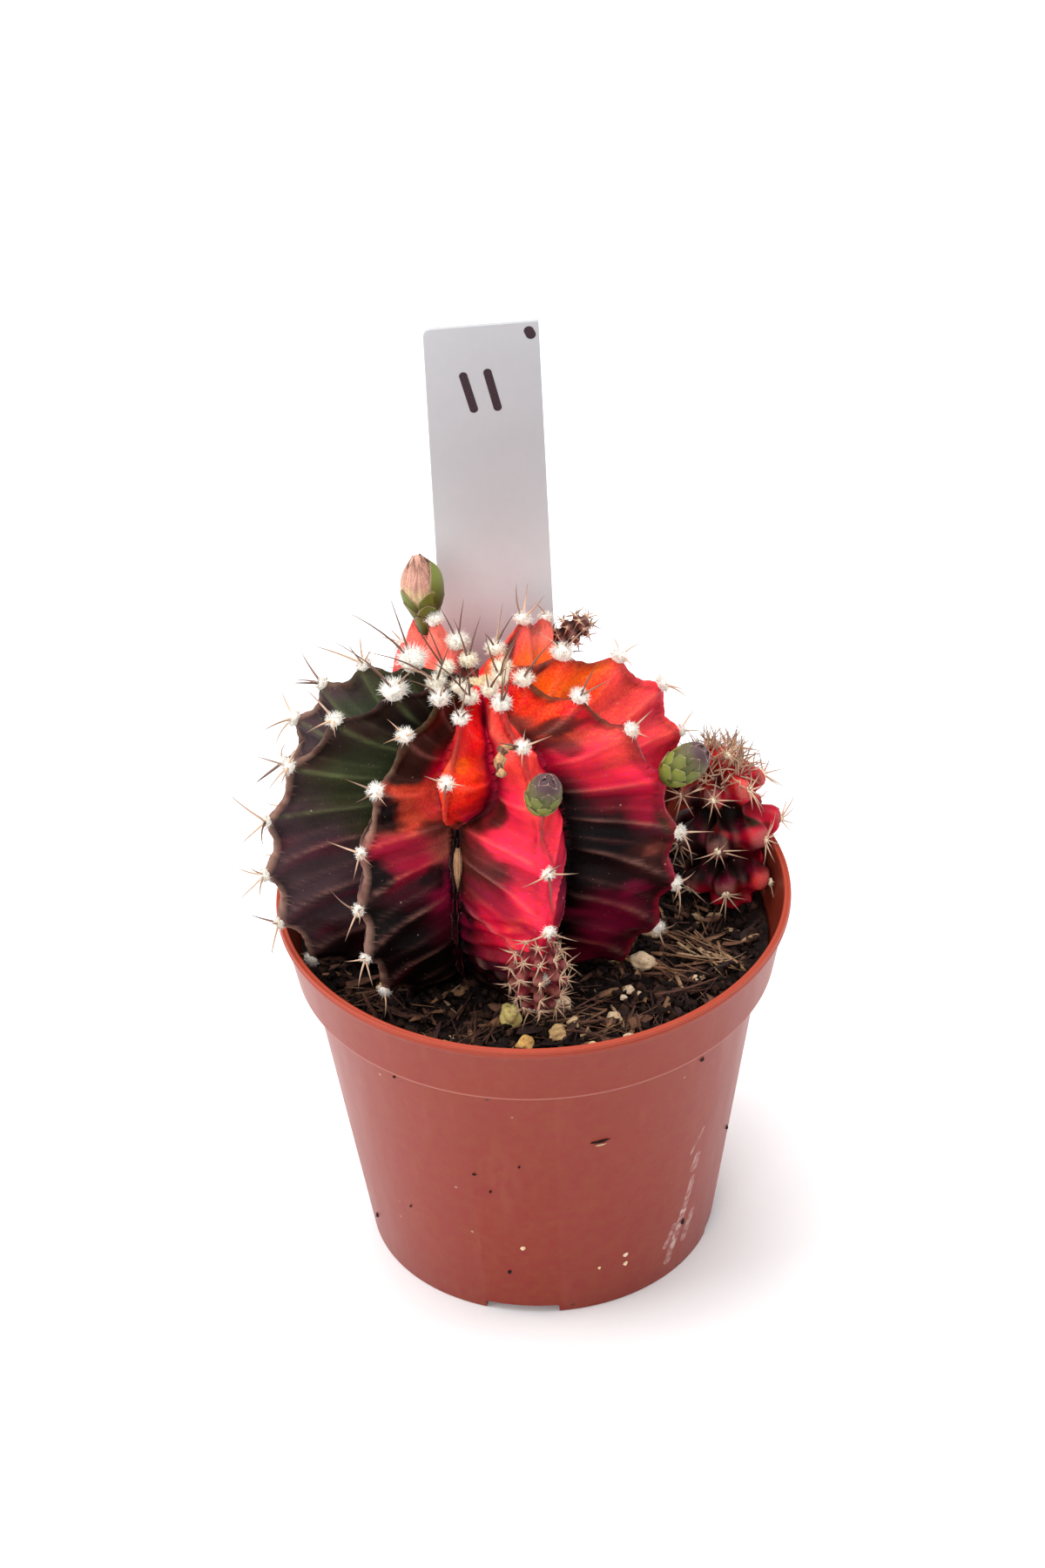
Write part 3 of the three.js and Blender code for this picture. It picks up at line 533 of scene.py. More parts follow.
class Tree:
    """Adds nodes to a node tree; a value given to a node may be a number or another socket."""

    def __init__(self, tree):
        self.tree = tree

    def node(self, kind, settings=None, **inputs):
        made = self.tree.nodes.new(kind)
        for name, value in (settings or {}).items():
            setattr(made, name, value)
        for name, value in inputs.items():
            self.give(made.inputs[name.replace("_", " ")], value)
        return made

    def give(self, socket, value):
        """Links a socket, or sets its number or its colour, which may be a web colour."""
        if isinstance(value, bpy.types.NodeSocket):
            self.tree.links.new(value, socket)
            return
        value = linear(value) if isinstance(value, str) else value
        if socket.type == "RGBA":
            value = (*value[:3], 1)
        socket.default_value = value

    def math(self, operation, *values, kind="ShaderNodeMath"):
        made = self.node(kind, {"operation": operation})
        for socket, value in zip(made.inputs, values):
            self.give(socket, value)
        return made.outputs[0]

    def times(self, first, second):
        return self.math("MULTIPLY", first, second)

    def plus(self, first, second):
        return self.math("ADD", first, second)

    def mixed(self, share, start, end):
        made = self.node("ShaderNodeMix", {"data_type": "RGBA"})
        for number, value in zip((0, 6, 7), (share, start, end)):
            self.give(made.inputs[number], value)
        return made.outputs[2]

    def stained(self, colour, mask, strength, stain):
        """A colour with a stain of some strength where a mask is 1."""
        return self.mixed(self.times(mask, strength), colour, stain)

    def between(self, value, low, high, start=0.0, end=1.0):
        made = self.node("ShaderNodeMapRange", {"interpolation_type": "SMOOTHSTEP"})
        for socket, given in zip(made.inputs, (value, low, high, start, end)):
            self.give(socket, given)
        return made.outputs[0]

    def object_point(self):
        return self.node("ShaderNodeTexCoord").outputs["Object"]

    def stored(self, name, output="Fac"):
        return self.node("ShaderNodeAttribute", {"attribute_name": name}).outputs[output]

    def heights(self, point):
        return self.node("ShaderNodeSeparateXYZ", Vector=point).outputs["Z"]

    def stretched(self, point, scale):
        return self.node("ShaderNodeMapping", Vector=point, Scale=scale).outputs[0]

    def noise(self, point, scale, detail=3.0, roughness=0.55):
        made = self.node(
            "ShaderNodeTexNoise", Vector=point, Scale=scale, Detail=detail, Roughness=roughness
        )
        return made.outputs[0]

    def ramp(self, value, stops):
        """A colour ramp through stops of a place from 0 to 1 and a web colour."""
        made = self.node("ShaderNodeValToRGB", Fac=value)
        elements = made.color_ramp.elements
        elements[1].position = 1.0
        for place, _ in stops[1:-1]:
            elements.new(place)
        for element, (place, code) in zip(elements, stops):
            element.position = place
            element.color = (*linear(code), 1)
        return made.outputs[0]

    def use(self, group, **inputs):
        made = self.node("ShaderNodeGroup", {"node_tree": group})
        for name, value in inputs.items():
            self.give(made.inputs[name], value)
        return made.outputs

    def clouded(self, point, colour, scale, amount, warmth=0.1):
        """The two results, Colour and Grain, of the cloudy grain round a colour."""
        group = group_once("Cloudy grain", build_mottle)
        return self.use(
            group, Point=point, Colour=colour, Scale=scale, Amount=amount, Warmth=warmth
        )

    def flecked(self, point, scale, size, share):
        group = group_once("Flecks", build_flecks)
        return self.use(group, Point=point, Scale=scale, Size=size, Share=share)["Mask"]

    def stroked(self, point, start, end, width):
        group = group_once("Pen stroke", build_stroke)
        return self.use(group, Point=point, Start=start, End=end, Width=width)["Mask"]


def new_group(name, inputs, outputs):
    """A shader node group with its sockets made, and the two ends of its tree."""
    group = bpy.data.node_groups.new(name, "ShaderNodeTree")
    for title, kind, value in inputs:
        socket = group.interface.new_socket(name=title, in_out="INPUT", socket_type=kind)
        if value is not None:
            socket.default_value = value
    for title, kind in outputs:
        group.interface.new_socket(name=title, in_out="OUTPUT", socket_type=kind)
    start = group.nodes.new("NodeGroupInput")
    end = group.nodes.new("NodeGroupOutput")
    return group, Tree(group), start.outputs, end.inputs


NUMBER = "NodeSocketFloat"
COLOUR = "NodeSocketColor"
POINT = "NodeSocketVector"


def group_once(name, build):
    """A node group that is built the first time it is asked for."""
    return bpy.data.node_groups.get(name) or build(name)


def build_mottle(name):
    """Two sizes of cloudy change round a colour, with a fine grain for roughness and bump."""
    inputs = [
        ("Point", POINT, None),
        ("Colour", COLOUR, (0.5, 0.5, 0.5, 1)),
        ("Scale", NUMBER, 300.0),
        ("Amount", NUMBER, 0.3),
        ("Warmth", NUMBER, 0.1),
    ]
    group, tree, given, out = new_group(name, inputs, [("Colour", COLOUR), ("Grain", NUMBER)])
    broad = tree.noise(given["Point"], given["Scale"], 4)
    fine = tree.noise(given["Point"], tree.times(given["Scale"], 6.5), 3, 0.6)
    both = tree.plus(tree.times(broad, 0.6), tree.times(fine, 0.4))
    lift = tree.times(tree.math("SUBTRACT", both, 0.5), given["Amount"])
    value = tree.plus(tree.times(lift, 4.0), 1.0)
    warm = tree.times(tree.math("SUBTRACT", fine, 0.5), given["Warmth"])
    hue = tree.plus(tree.times(warm, 0.3), 0.5)
    turned = tree.node("ShaderNodeHueSaturation", Hue=hue, Value=value, Color=given["Colour"])
    tree.give(out["Colour"], turned.outputs[0])
    tree.give(out["Grain"], fine)
    return group


def build_flecks(name):
    """A mask of small scattered flecks, such as dust, grit or pale pores."""
    inputs = [
        ("Point", POINT, None),
        ("Scale", NUMBER, 400.0),
        ("Size", NUMBER, 0.2),
        ("Share", NUMBER, 0.5),
    ]
    group, tree, given, out = new_group(name, inputs, [("Mask", NUMBER)])
    cells = tree.node("ShaderNodeTexVoronoi", Vector=given["Point"], Scale=given["Scale"])
    close = tree.between(cells.outputs["Distance"], 0.0, given["Size"], 1.0, 0.0)
    chance = tree.node("ShaderNodeSeparateColor", Color=cells.outputs["Color"]).outputs[0]
    kept = tree.math("LESS_THAN", chance, given["Share"])
    tree.give(out["Mask"], tree.times(close, kept))
    return group


def build_stroke(name):
    """A mask round a straight stroke between two points of a flat surface."""
    inputs = [
        ("Point", POINT, None),
        ("Start", POINT, None),
        ("End", POINT, None),
        ("Width", NUMBER, 1.0),
    ]
    group, tree, given, out = new_group(name, inputs, [("Mask", NUMBER)])

    def vector(operation, first, second):
        made = tree.node("ShaderNodeVectorMath", {"operation": operation})
        tree.give(made.inputs[0], first)
        tree.give(made.inputs["Scale" if operation == "SCALE" else 1], second)
        return made.outputs

    path = vector("SUBTRACT", given["End"], given["Start"])["Vector"]
    from_start = vector("SUBTRACT", given["Point"], given["Start"])["Vector"]
    run = vector("DOT_PRODUCT", from_start, path)["Value"]
    whole = vector("DOT_PRODUCT", path, path)["Value"]
    share = tree.math("DIVIDE", run, whole)
    share = tree.math("MINIMUM", tree.math("MAXIMUM", share, 0.0), 1.0)
    nearest = vector("SUBTRACT", from_start, vector("SCALE", path, share)["Vector"])["Vector"]
    gap = vector("LENGTH", nearest, (0, 0, 0))["Value"]
    half = tree.times(given["Width"], 0.5)
    soft = tree.times(given["Width"], 0.62)
    tree.give(out["Mask"], tree.between(gap, half, soft, 1.0, 0.0))
    return group


def material(name):
    """A Principled material, made by its recipe the first time it is asked for.

    The recipe's function builds the tree and returns its colour, and the height and the
    roughness where they change over the surface."""
    made = bpy.data.materials.get(name)
    if made:
        return made
    build, roughness, bump, constants = RECIPES[name]
    made = bpy.data.materials.new(name)
    made.use_nodes = True
    tree = Tree(made.node_tree)
    sockets = made.node_tree.nodes["Principled BSDF"].inputs
    for title, value in {"Roughness": roughness, **constants}.items():
        sockets[title].default_value = value
    results = build(tree)
    tree.give(sockets["Base Color"], results["colour"])
    if "roughness" in results:
        tree.give(sockets["Roughness"], results["roughness"])
    if "height" in results:
        relief = tree.node("ShaderNodeBump", Height=results["height"], Distance=bump)
        tree.give(sockets["Normal"], relief.outputs[0])
    return made


# ---- Sizes and colours that a user may change ----


def colour_choice(name, description, code):
    return bpy.props.FloatVectorProperty(
        name=name,
        description=description,
        subtype="COLOR",
        size=3,
        min=0,
        max=1,
        default=linear(code),
    )


def count_choice(name, description, default, low=0, high=20000):
    return bpy.props.IntProperty(
        name=name, description=description, default=default, min=low, max=high
    )


def length_choice(name, description, default, low=0.0, high=50.0):
    """A length in millimetres, the unit of every table in this file."""
    return bpy.props.FloatProperty(
        name=name, description=description, default=default, min=low, max=high, unit="NONE"
    )


class CactusPaints(bpy.types.PropertyGroup):
    """The paints of the cactus's skin, which the tables of its flanks name."""

    scarlet: colour_choice("Scarlet", "Upper part of the short and right ribs", "#f0161a")
    vermilion: colour_choice("Vermilion", "Bright upper crests", "#f2401c")
    ember: colour_choice("Ember", "Deep orange red, low on the short rib", "#d8140c")
    orange: colour_choice("Orange", "Patches near the crown", "#f8600c")
    peach: colour_choice("Peach", "Palest skin and veins of bright flanks", "#fc705e")
    coral: colour_choice("Coral", "Flanks below the crown", "#f2423c")
    rose: colour_choice("Rose", "Lower crest of the front rib", "#ec2846")
    cherry: colour_choice("Cherry", "Middle of the red flanks", "#c80c32")
    crimson: colour_choice("Crimson", "Red that darkens towards a groove", "#980a2c")
    magenta: colour_choice("Magenta", "Purplish streaks low on the flanks", "#74092e")
    wine: colour_choice("Wine", "Dark red", "#440a1a")
    # Partly the skin's own black, partly painted shade in the grooves and low down.
    maroon: colour_choice("Maroon", "Darkest red flanks", "#24080c")
    night: colour_choice("Night", "Near black, low in the grooves", "#0a0204")
    rust: colour_choice("Rust", "Dull red between green and red", "#b8402c")
    clay: colour_choice("Clay", "Pinkish brown", "#8c4438")
    umber: colour_choice("Umber", "Brown between red and green", "#4c1c16")
    bark: colour_choice("Bark", "Blackish brown of the left ribs", "#2c1c17")
    soot: colour_choice("Soot", "Black green", "#120d0b")
    plum: colour_choice("Plum", "Brownish purple of the left flanks", "#3e2a2f")
    olive: colour_choice("Olive", "Green showing through brown", "#33331b")
    moss: colour_choice("Moss", "Greenest skin", "#303823")
    sinew: colour_choice("Sinew", "Veins of the dark flanks", "#96685e")
    sprout: colour_choice("Sprout", "Veins of the green flanks", "#687048")
    rind: colour_choice("Rind", "Woody edge of the crests", "#8c6a5c")


class CactusSizes(bpy.types.PropertyGroup):
    """Sizes and numbers of the small forms; lengths are in millimetres."""

    vein_height: length_choice("Vein height", "How far veins stand out of a flank", 0.3)
    chin_height: length_choice("Chin height", "How far a chin stands over its crease", 0.9)
    cord_height: length_choice("Crest cord", "How far the edge of a crest stands out", 0.45)
    spine_thickness: length_choice("Spine thickness", "Radius at a spine's foot", 0.22)
    wool_hairs: count_choice("Wool hairs", "Hairs in one tuft", 230)
    wool_radius: length_choice("Wool radius", "Radius of a full tuft", 1.6)
    crumbs: count_choice("Crumbs", "Peat crumbs on the soil", 3200)
    chips: count_choice("Chips", "Bark chips on the soil", 420)
    fibres: count_choice("Fibres", "Loose fibres on the soil", 420)


class CactusColours(bpy.types.PropertyGroup):
    """Colours of the pot, soil, label and small parts."""

    plastic: colour_choice("Plastic", "Terracotta plastic of the pot", "#842f20")
    # A paler paint for the lip that stands in for the light it catches: a painted highlight.
    plastic_lip: colour_choice("Lip", "Thin lip of the pot in the light", "#a8432e")
    peat: colour_choice("Peat", "Damp peat", "#160806")
    peat_dry: colour_choice("Dry peat", "Dry crumbs of peat", "#4e3224")
    wool: colour_choice("Wool", "Felt of the areoles", "#fbf8f2")
    wool_cream: colour_choice("Young wool", "Felt at the crown", "#fbeac0")
    spine: colour_choice("Spine", "Middle of a spine", "#c9a58a")
    spine_tip: colour_choice("Spine tip", "Dark end of a spine", "#5a3a2a")
    bud: colour_choice("Bud", "Scales of a bud", "#727a34")
    bud_edge: colour_choice("Bud edge", "Pale margin of a bud's scale", "#b08c80")
    petal: colour_choice("Dried petal", "Faded petals", "#cf9a88")
    label: colour_choice("Label", "White plastic of the label", "#b3b2b5")
    ink: colour_choice("Ink", "Pen marks on the label", "#1d0710")
    floor: colour_choice("Floor", "Floor and backdrop", "#f6f6f7")


def paints():
    """Every paint of the skin by its name, as a linear colour."""
    chosen = bpy.context.scene.cactus_paints
    names = CactusPaints.__annotations__
    return {name: np.array(getattr(chosen, name)[:]) for name in names}


def sizes_now():
    return bpy.context.scene.cactus_sizes


def colours_now():
    """The colours of the small parts by their names, as linear tuples."""
    chosen = bpy.context.scene.cactus_colours
    names = CactusColours.__annotations__
    return SimpleNamespace(**{name: tuple(getattr(chosen, name)) for name in names})


def wall_point(angle, height, out=0.0):
    """A point of the pot's outer wall below the band, or of the band, from above its foot."""
    if height < BAND_FOOT:
        radius = mix(POT.base_radius, POT.neck_radius, height / BAND_FOOT)
    else:
        radius = mix(
            POT.band_radius, POT.band_top_radius, (height - BAND_FOOT) / POT.band_height
        )
    turn = math.radians(angle)
    return ((radius + out) * math.cos(turn), (radius + out) * math.sin(turn), height)


# ---- The materials ----

# Chalky scuffs on the pot's wall: angle and height of both ends, and width in millimetres.
SCUFFS = [
    ((-38.5, 26), (-39.5, 23.5), 1.5),
    ((-39, 21), (-44, 7), 1.3),
    ((-41, 15), (-46, 4), 1.5),
    ((-36, 12), (-39, 7), 1.4),
    ((-37.5, 32), (-42, 28), 0.6),
    ((-45, 12), (-48, 8), 1.0),
]

# Pen marks: both ends, across and along the label, and width in millimetres.
MARKS = [
    ((-3.3, 97.6), (-1.85, 91.4), 1.25),
    ((0.7, 97.9), (2.05, 91.4), 1.25),
    ((7.8, 104.9), (8.1, 104.2), 1.5),
]
# Millimetres of the label to one unit of its UV map.
LABEL_UNIT = 100


def paper(tree):
    """The floor: pale and even, with a cloudiness that hardly shows."""
    return {"colour": tree.clouded(tree.object_point(), colours_now().floor, 3.0, 0.01)["Colour"]}


def pot_plastic(tree):
    """Satin plastic: cloudy, paler and dusty in streaks, scuffed low down at the right, with a
    painted highlight on the lip and a thin one along the band's lower edge.
    """
    chosen = colours_now()
    point = tree.object_point()
    height = tree.heights(point)
    base = tree.clouded(point, chosen.plastic, 70.0, 0.05)
    streaks = tree.noise(tree.stretched(point, (1, 1, 0.12)), 260.0, 3)
    upper = tree.between(height, 0.02, 0.06)
    colour = tree.stained(base["Colour"], upper, 0.35, "#863425")
    # Painted highlight: the thin lip is painted paler, as it shows in the light.
    lip = tree.between(height, 0.0648, 0.0664)
    colour = tree.stained(colour, lip, 0.8, chosen.plastic_lip)
    # Painted highlight: a thin pale line along the rounded lower edge of the band.
    seam_low = tree.between(height, 0.0539, 0.0542)
    seam_high = tree.between(height, 0.0546, 0.0549, 1.0, 0.0)
    colour = tree.stained(colour, tree.times(seam_low, seam_high), 0.36, "#c08476")
    haze = tree.between(streaks, 0.52, 0.8)
    colour = tree.stained(colour, haze, 0.16, "#a4604f")
    dust = tree.flecked(point, 420.0, 0.16, 0.06)
    colour = tree.stained(colour, dust, 0.55, "#d9c4b8")
    dirt = tree.flecked(point, 230.0, 0.13, 0.05)
    colour = tree.stained(colour, dirt, 0.8, "#2c1812")
    for start, end, width in SCUFFS:
        ends = [Vector(wall_point(*place)) * MM for place in (start, end)]
        mask = tree.stroked(point, *ends, width * MM)
        worn = tree.between(tree.noise(point, 900.0, 4), 0.34, 0.66, 0.02, 0.3)
        colour = tree.stained(colour, mask, worn, "#e6d3cc")
    rough = tree.plus(tree.times(streaks, 0.16), 0.3)
    fine = tree.noise(point, 1600.0, 2)
    return {
        "colour": colour,
        "roughness": rough,
        "height": tree.plus(tree.times(fine, 0.5), streaks),
    }


def earth(tree):
    """Peat: a dark damp colour with drier tops, by each grain's own tint."""
    chosen = colours_now()
    point = tree.object_point()
    dry = tree.between(tree.noise(point, 330.0, 4), 0.5, 0.72)
    pale = tree.math("POWER", tree.stored("tint"), 3.0)
    share = tree.math("MAXIMUM", tree.times(dry, 0.45), pale)
    clouded = tree.clouded(point, tree.mixed(share, chosen.peat, chosen.peat_dry), 700.0, 0.5, 0.3)
    salt = tree.flecked(point, 700.0, 0.22, 0.06)
    return {
        "colour": tree.stained(clouded["Colour"], salt, 0.6, "#b9ada0"),
        "roughness": tree.between(tree.noise(point, 500.0, 2), 0.35, 0.65, 0.45, 0.95),
        "height": clouded["Grain"],
    }


def bark(tree):
    """Shredded bark: browns that differ from chip to chip, with a lengthwise grain."""
    browns = [
        (0.0, "#220c0a"),
        (0.3, "#40201a"),
        (0.55, "#66402e"),
        (0.78, "#926848"),
        (1.0, "#c0a07c"),
    ]
    brown = tree.ramp(tree.stored("tint"), browns)
    clouded = tree.clouded(tree.object_point(), brown, 500.0, 0.5, 0.3)
    return {"colour": clouded["Colour"], "height": clouded["Grain"]}


def grit(tree):
    """Pale mineral grains, tan to yellow green, with dark pits and stained patches."""
    point = tree.object_point()
    tans = [(0.0, "#ead0b0"), (0.4, "#e4c08c"), (0.7, "#eab468"), (1.0, "#dacb7c")]
    clouded = tree.clouded(point, tree.ramp(tree.stored("tint"), tans), 420.0, 0.28, 0.4)
    patches = tree.between(tree.noise(point, 380.0, 3), 0.58, 0.75)
    colour = tree.stained(clouded["Colour"], patches, 0.5, "#8a5c34")
    pits = tree.flecked(point, 1300.0, 0.3, 0.25)
    return {
        "colour": tree.stained(colour, pits, 0.6, "#5d4430"),
        "height": tree.math("SUBTRACT", clouded["Grain"], pits),
    }


def flesh(tree):
    """Waxy skin: the painted colour, with cloudy grain, pale pores and a satin sheen."""
    point = tree.object_point()
    veins = tree.stored("vein")
    clouded = tree.clouded(point, tree.stored("paint", "Color"), 380.0, 0.14, 0.15)
    pale = tree.mixed(0.5, clouded["Colour"], "#f0c0a8")
    pores = tree.flecked(point, 1150.0, 0.17, 0.3)
    colour = tree.stained(clouded["Colour"], pores, 0.35, pale)
    dust = tree.flecked(point, 420.0, 0.1, 0.16)
    satin = tree.between(tree.noise(point, 160.0, 3), 0.3, 0.7, 0.36, 0.52)
    return {
        "colour": tree.stained(colour, dust, 0.6, "#cbb9a8"),
        "roughness": tree.plus(satin, tree.times(veins, 0.1)),
        "height": tree.plus(clouded["Grain"], tree.times(veins, 0.8)),
    }


def felt(tree):
    """Matted wool: white, creamier where its tint says so, with painted shade, warm-toned, at the
    roots of the hairs.
    """
    chosen = colours_now()
    colour = tree.mixed(tree.stored("tint"), chosen.wool, chosen.wool_cream)
    # Painted shade: hairs and cushions darken to a warm tan towards their roots.
    root = tree.between(tree.stored("along"), 0.0, 0.4, 0.3, 0.0)
    colour = tree.mixed(root, colour, "#d9bd98")
    clouded = tree.clouded(tree.object_point(), colour, 900.0, 0.12, 0.2)
    return {"colour": clouded["Colour"], "height": clouded["Grain"]}


def thorn(tree):
    """Spines: horn-coloured, from pale to brown by tint, with a dark tip."""
    chosen = colours_now()
    tint = tree.stored("tint")
    colour = tree.mixed(tint, "#d0ab8c", chosen.spine)
    colour = tree.mixed(tree.between(tint, 0.5, 0.95), colour, "#6b4a3c")
    tip = tree.between(tree.stored("along"), 0.3, 1.0)
    colour = tree.stained(colour, tip, 0.75, chosen.spine_tip)
    clouded = tree.clouded(tree.object_point(), colour, 1500.0, 0.2, 0.2)
    return {"colour": clouded["Colour"], "height": clouded["Grain"]}


def scale_green(tree):
    """Bud scales: green, with a thin pale margin, purple towards the bud's tip and painted shade,
    darker green, towards the foot of each scale.
    """
    chosen = colours_now()
    along = tree.stored("along")
    clouded = tree.clouded(tree.object_point(), chosen.bud, 520.0, 0.2, 0.4)
    # Painted shade: scales and core turn darker green towards their feet, under the scales above.
    shade = tree.between(along, 0.1, 0.7, 0.75, 0.0)
    colour = tree.mixed(shade, clouded["Colour"], "#28330f")
    towards_tip = tree.between(tree.stored("tint"), 0.25, 1.0)
    purple = tree.times(towards_tip, tree.between(along, 0.0, 0.75))
    colour = tree.stained(colour, purple, 0.85, "#4a2440")
    side_rim = tree.between(tree.stored("side"), 0.8, 1.0)
    rim = tree.math("MAXIMUM", side_rim, tree.between(along, 0.9, 1.0))
    shown = tree.between(along, 0.25, 0.6, 0.0, 0.75)
    return {"colour": tree.stained(colour, rim, shown, chosen.bud_edge), "height": clouded["Grain"]}


def petal_dry(tree):
    """Faded petals: pinkish tan with brown tips and lengthwise veins."""
    along = tree.stored("along")
    tint = tree.stored("tint")
    pale = tree.between(along, 0.25, 0.6, 0.85, 0.0)
    fresh = tree.mixed(pale, colours_now().petal, "#e2d29a")
    colour = tree.mixed(tint, fresh, "#bd8f5e")
    browned = tree.between(tint, 0.0, 0.6, 0.22, 0.92)
    colour = tree.stained(colour, tree.between(along, 0.7, 1.0), browned, "#4a2418")
    veins = tree.math("SINE", tree.times(tree.stored("side"), 14.0))
    colour = tree.mixed(tree.between(veins, 0.2, 1.0, 0.0, 0.3), colour, "#a86a54")
    clouded = tree.clouded(tree.object_point(), colour, 600.0, 0.35, 0.3)
    return {
        "colour": clouded["Colour"],
        "height": tree.plus(clouded["Grain"], tree.times(veins, 0.5)),
    }


def label_plastic(tree):
    """White plastic: lilac grey, with faint lengthwise scuffs and ink, and painted light that makes
    its front paler low down, where the plant shades it.
    """
    chosen = colours_now()
    point = tree.object_point()
    place = tree.node("ShaderNodeUVMap", {"uv_map": "UVMap"}).outputs[0]
    front = tree.stored("front")
    # Painted light: the front is painted paler low down, where the plant shades it.
    low = tree.times(tree.between(tree.heights(point), 0.13, 0.088), front)
    clouded = tree.clouded(point, tree.mixed(low, chosen.label, "#e6f2f4"), 90.0, 0.03, 0.05)
    scuffs = tree.noise(tree.stretched(place, (60, 2.5, 1)), 9.0, 3)
    scuffed = tree.between(scuffs, 0.6, 0.8, 0.0, 0.12)
    colour = tree.mixed(scuffed, clouded["Colour"], "#aca3a8")
    masks = []
    for start, end, width in MARKS:
        ends = [Vector((*spot, 0)) / LABEL_UNIT for spot in (start, end)]
        masks.append(tree.stroked(place, *ends, width / LABEL_UNIT))
    ink = masks[0]
    for mask in masks[1:]:
        ink = tree.math("MAXIMUM", ink, mask)
    uneven = tree.between(tree.noise(place, 900.0, 2), 0.3, 0.7, 0.97, 1.0)
    ink = tree.times(tree.times(ink, front), uneven)
    pooled = tree.between(tree.noise(place, 420.0, 2), 0.45, 0.65)
    satin = tree.between(scuffs, 0.3, 0.7, 0.4, 0.5)
    return {
        "colour": tree.mixed(ink, colour, tree.mixed(pooled, chosen.ink, "#3d0f24")),
        "roughness": tree.plus(satin, tree.times(ink, 0.35)),
        "height": scuffs,
    }


# Each material: what builds it, its roughness, its bump in metres and other constants.
RECIPES = {
    "Pale paper": (paper, 0.75, 0.0, {}),
    "Satin terracotta plastic": (pot_plastic, 0.38, 0.00003, {"Specular IOR Level": 0.2}),
    "Damp peat": (earth, 0.8, 0.0004, {"Specular IOR Level": 0.25}),
    "Shredded bark": (bark, 0.75, 0.0003, {}),
    "Mineral grit": (grit, 0.7, 0.00025, {}),
    "Waxy skin": (flesh, 0.42, 0.00012, {"Specular IOR Level": 0.1}),
    "Matted wool": (felt, 0.9, 0.0001, {"Sheen Weight": 0.3}),
    "Horny spine": (thorn, 0.5, 0.00004, {}),
    "Bud scale": (scale_green, 0.5, 0.00008, {"Specular IOR Level": 0.2}),
    "Dried petal": (petal_dry, 0.75, 0.00015, {}),
    "Label plastic": (label_plastic, 0.4, 0.00002, {}),
}


# ---- The skin's paint ----

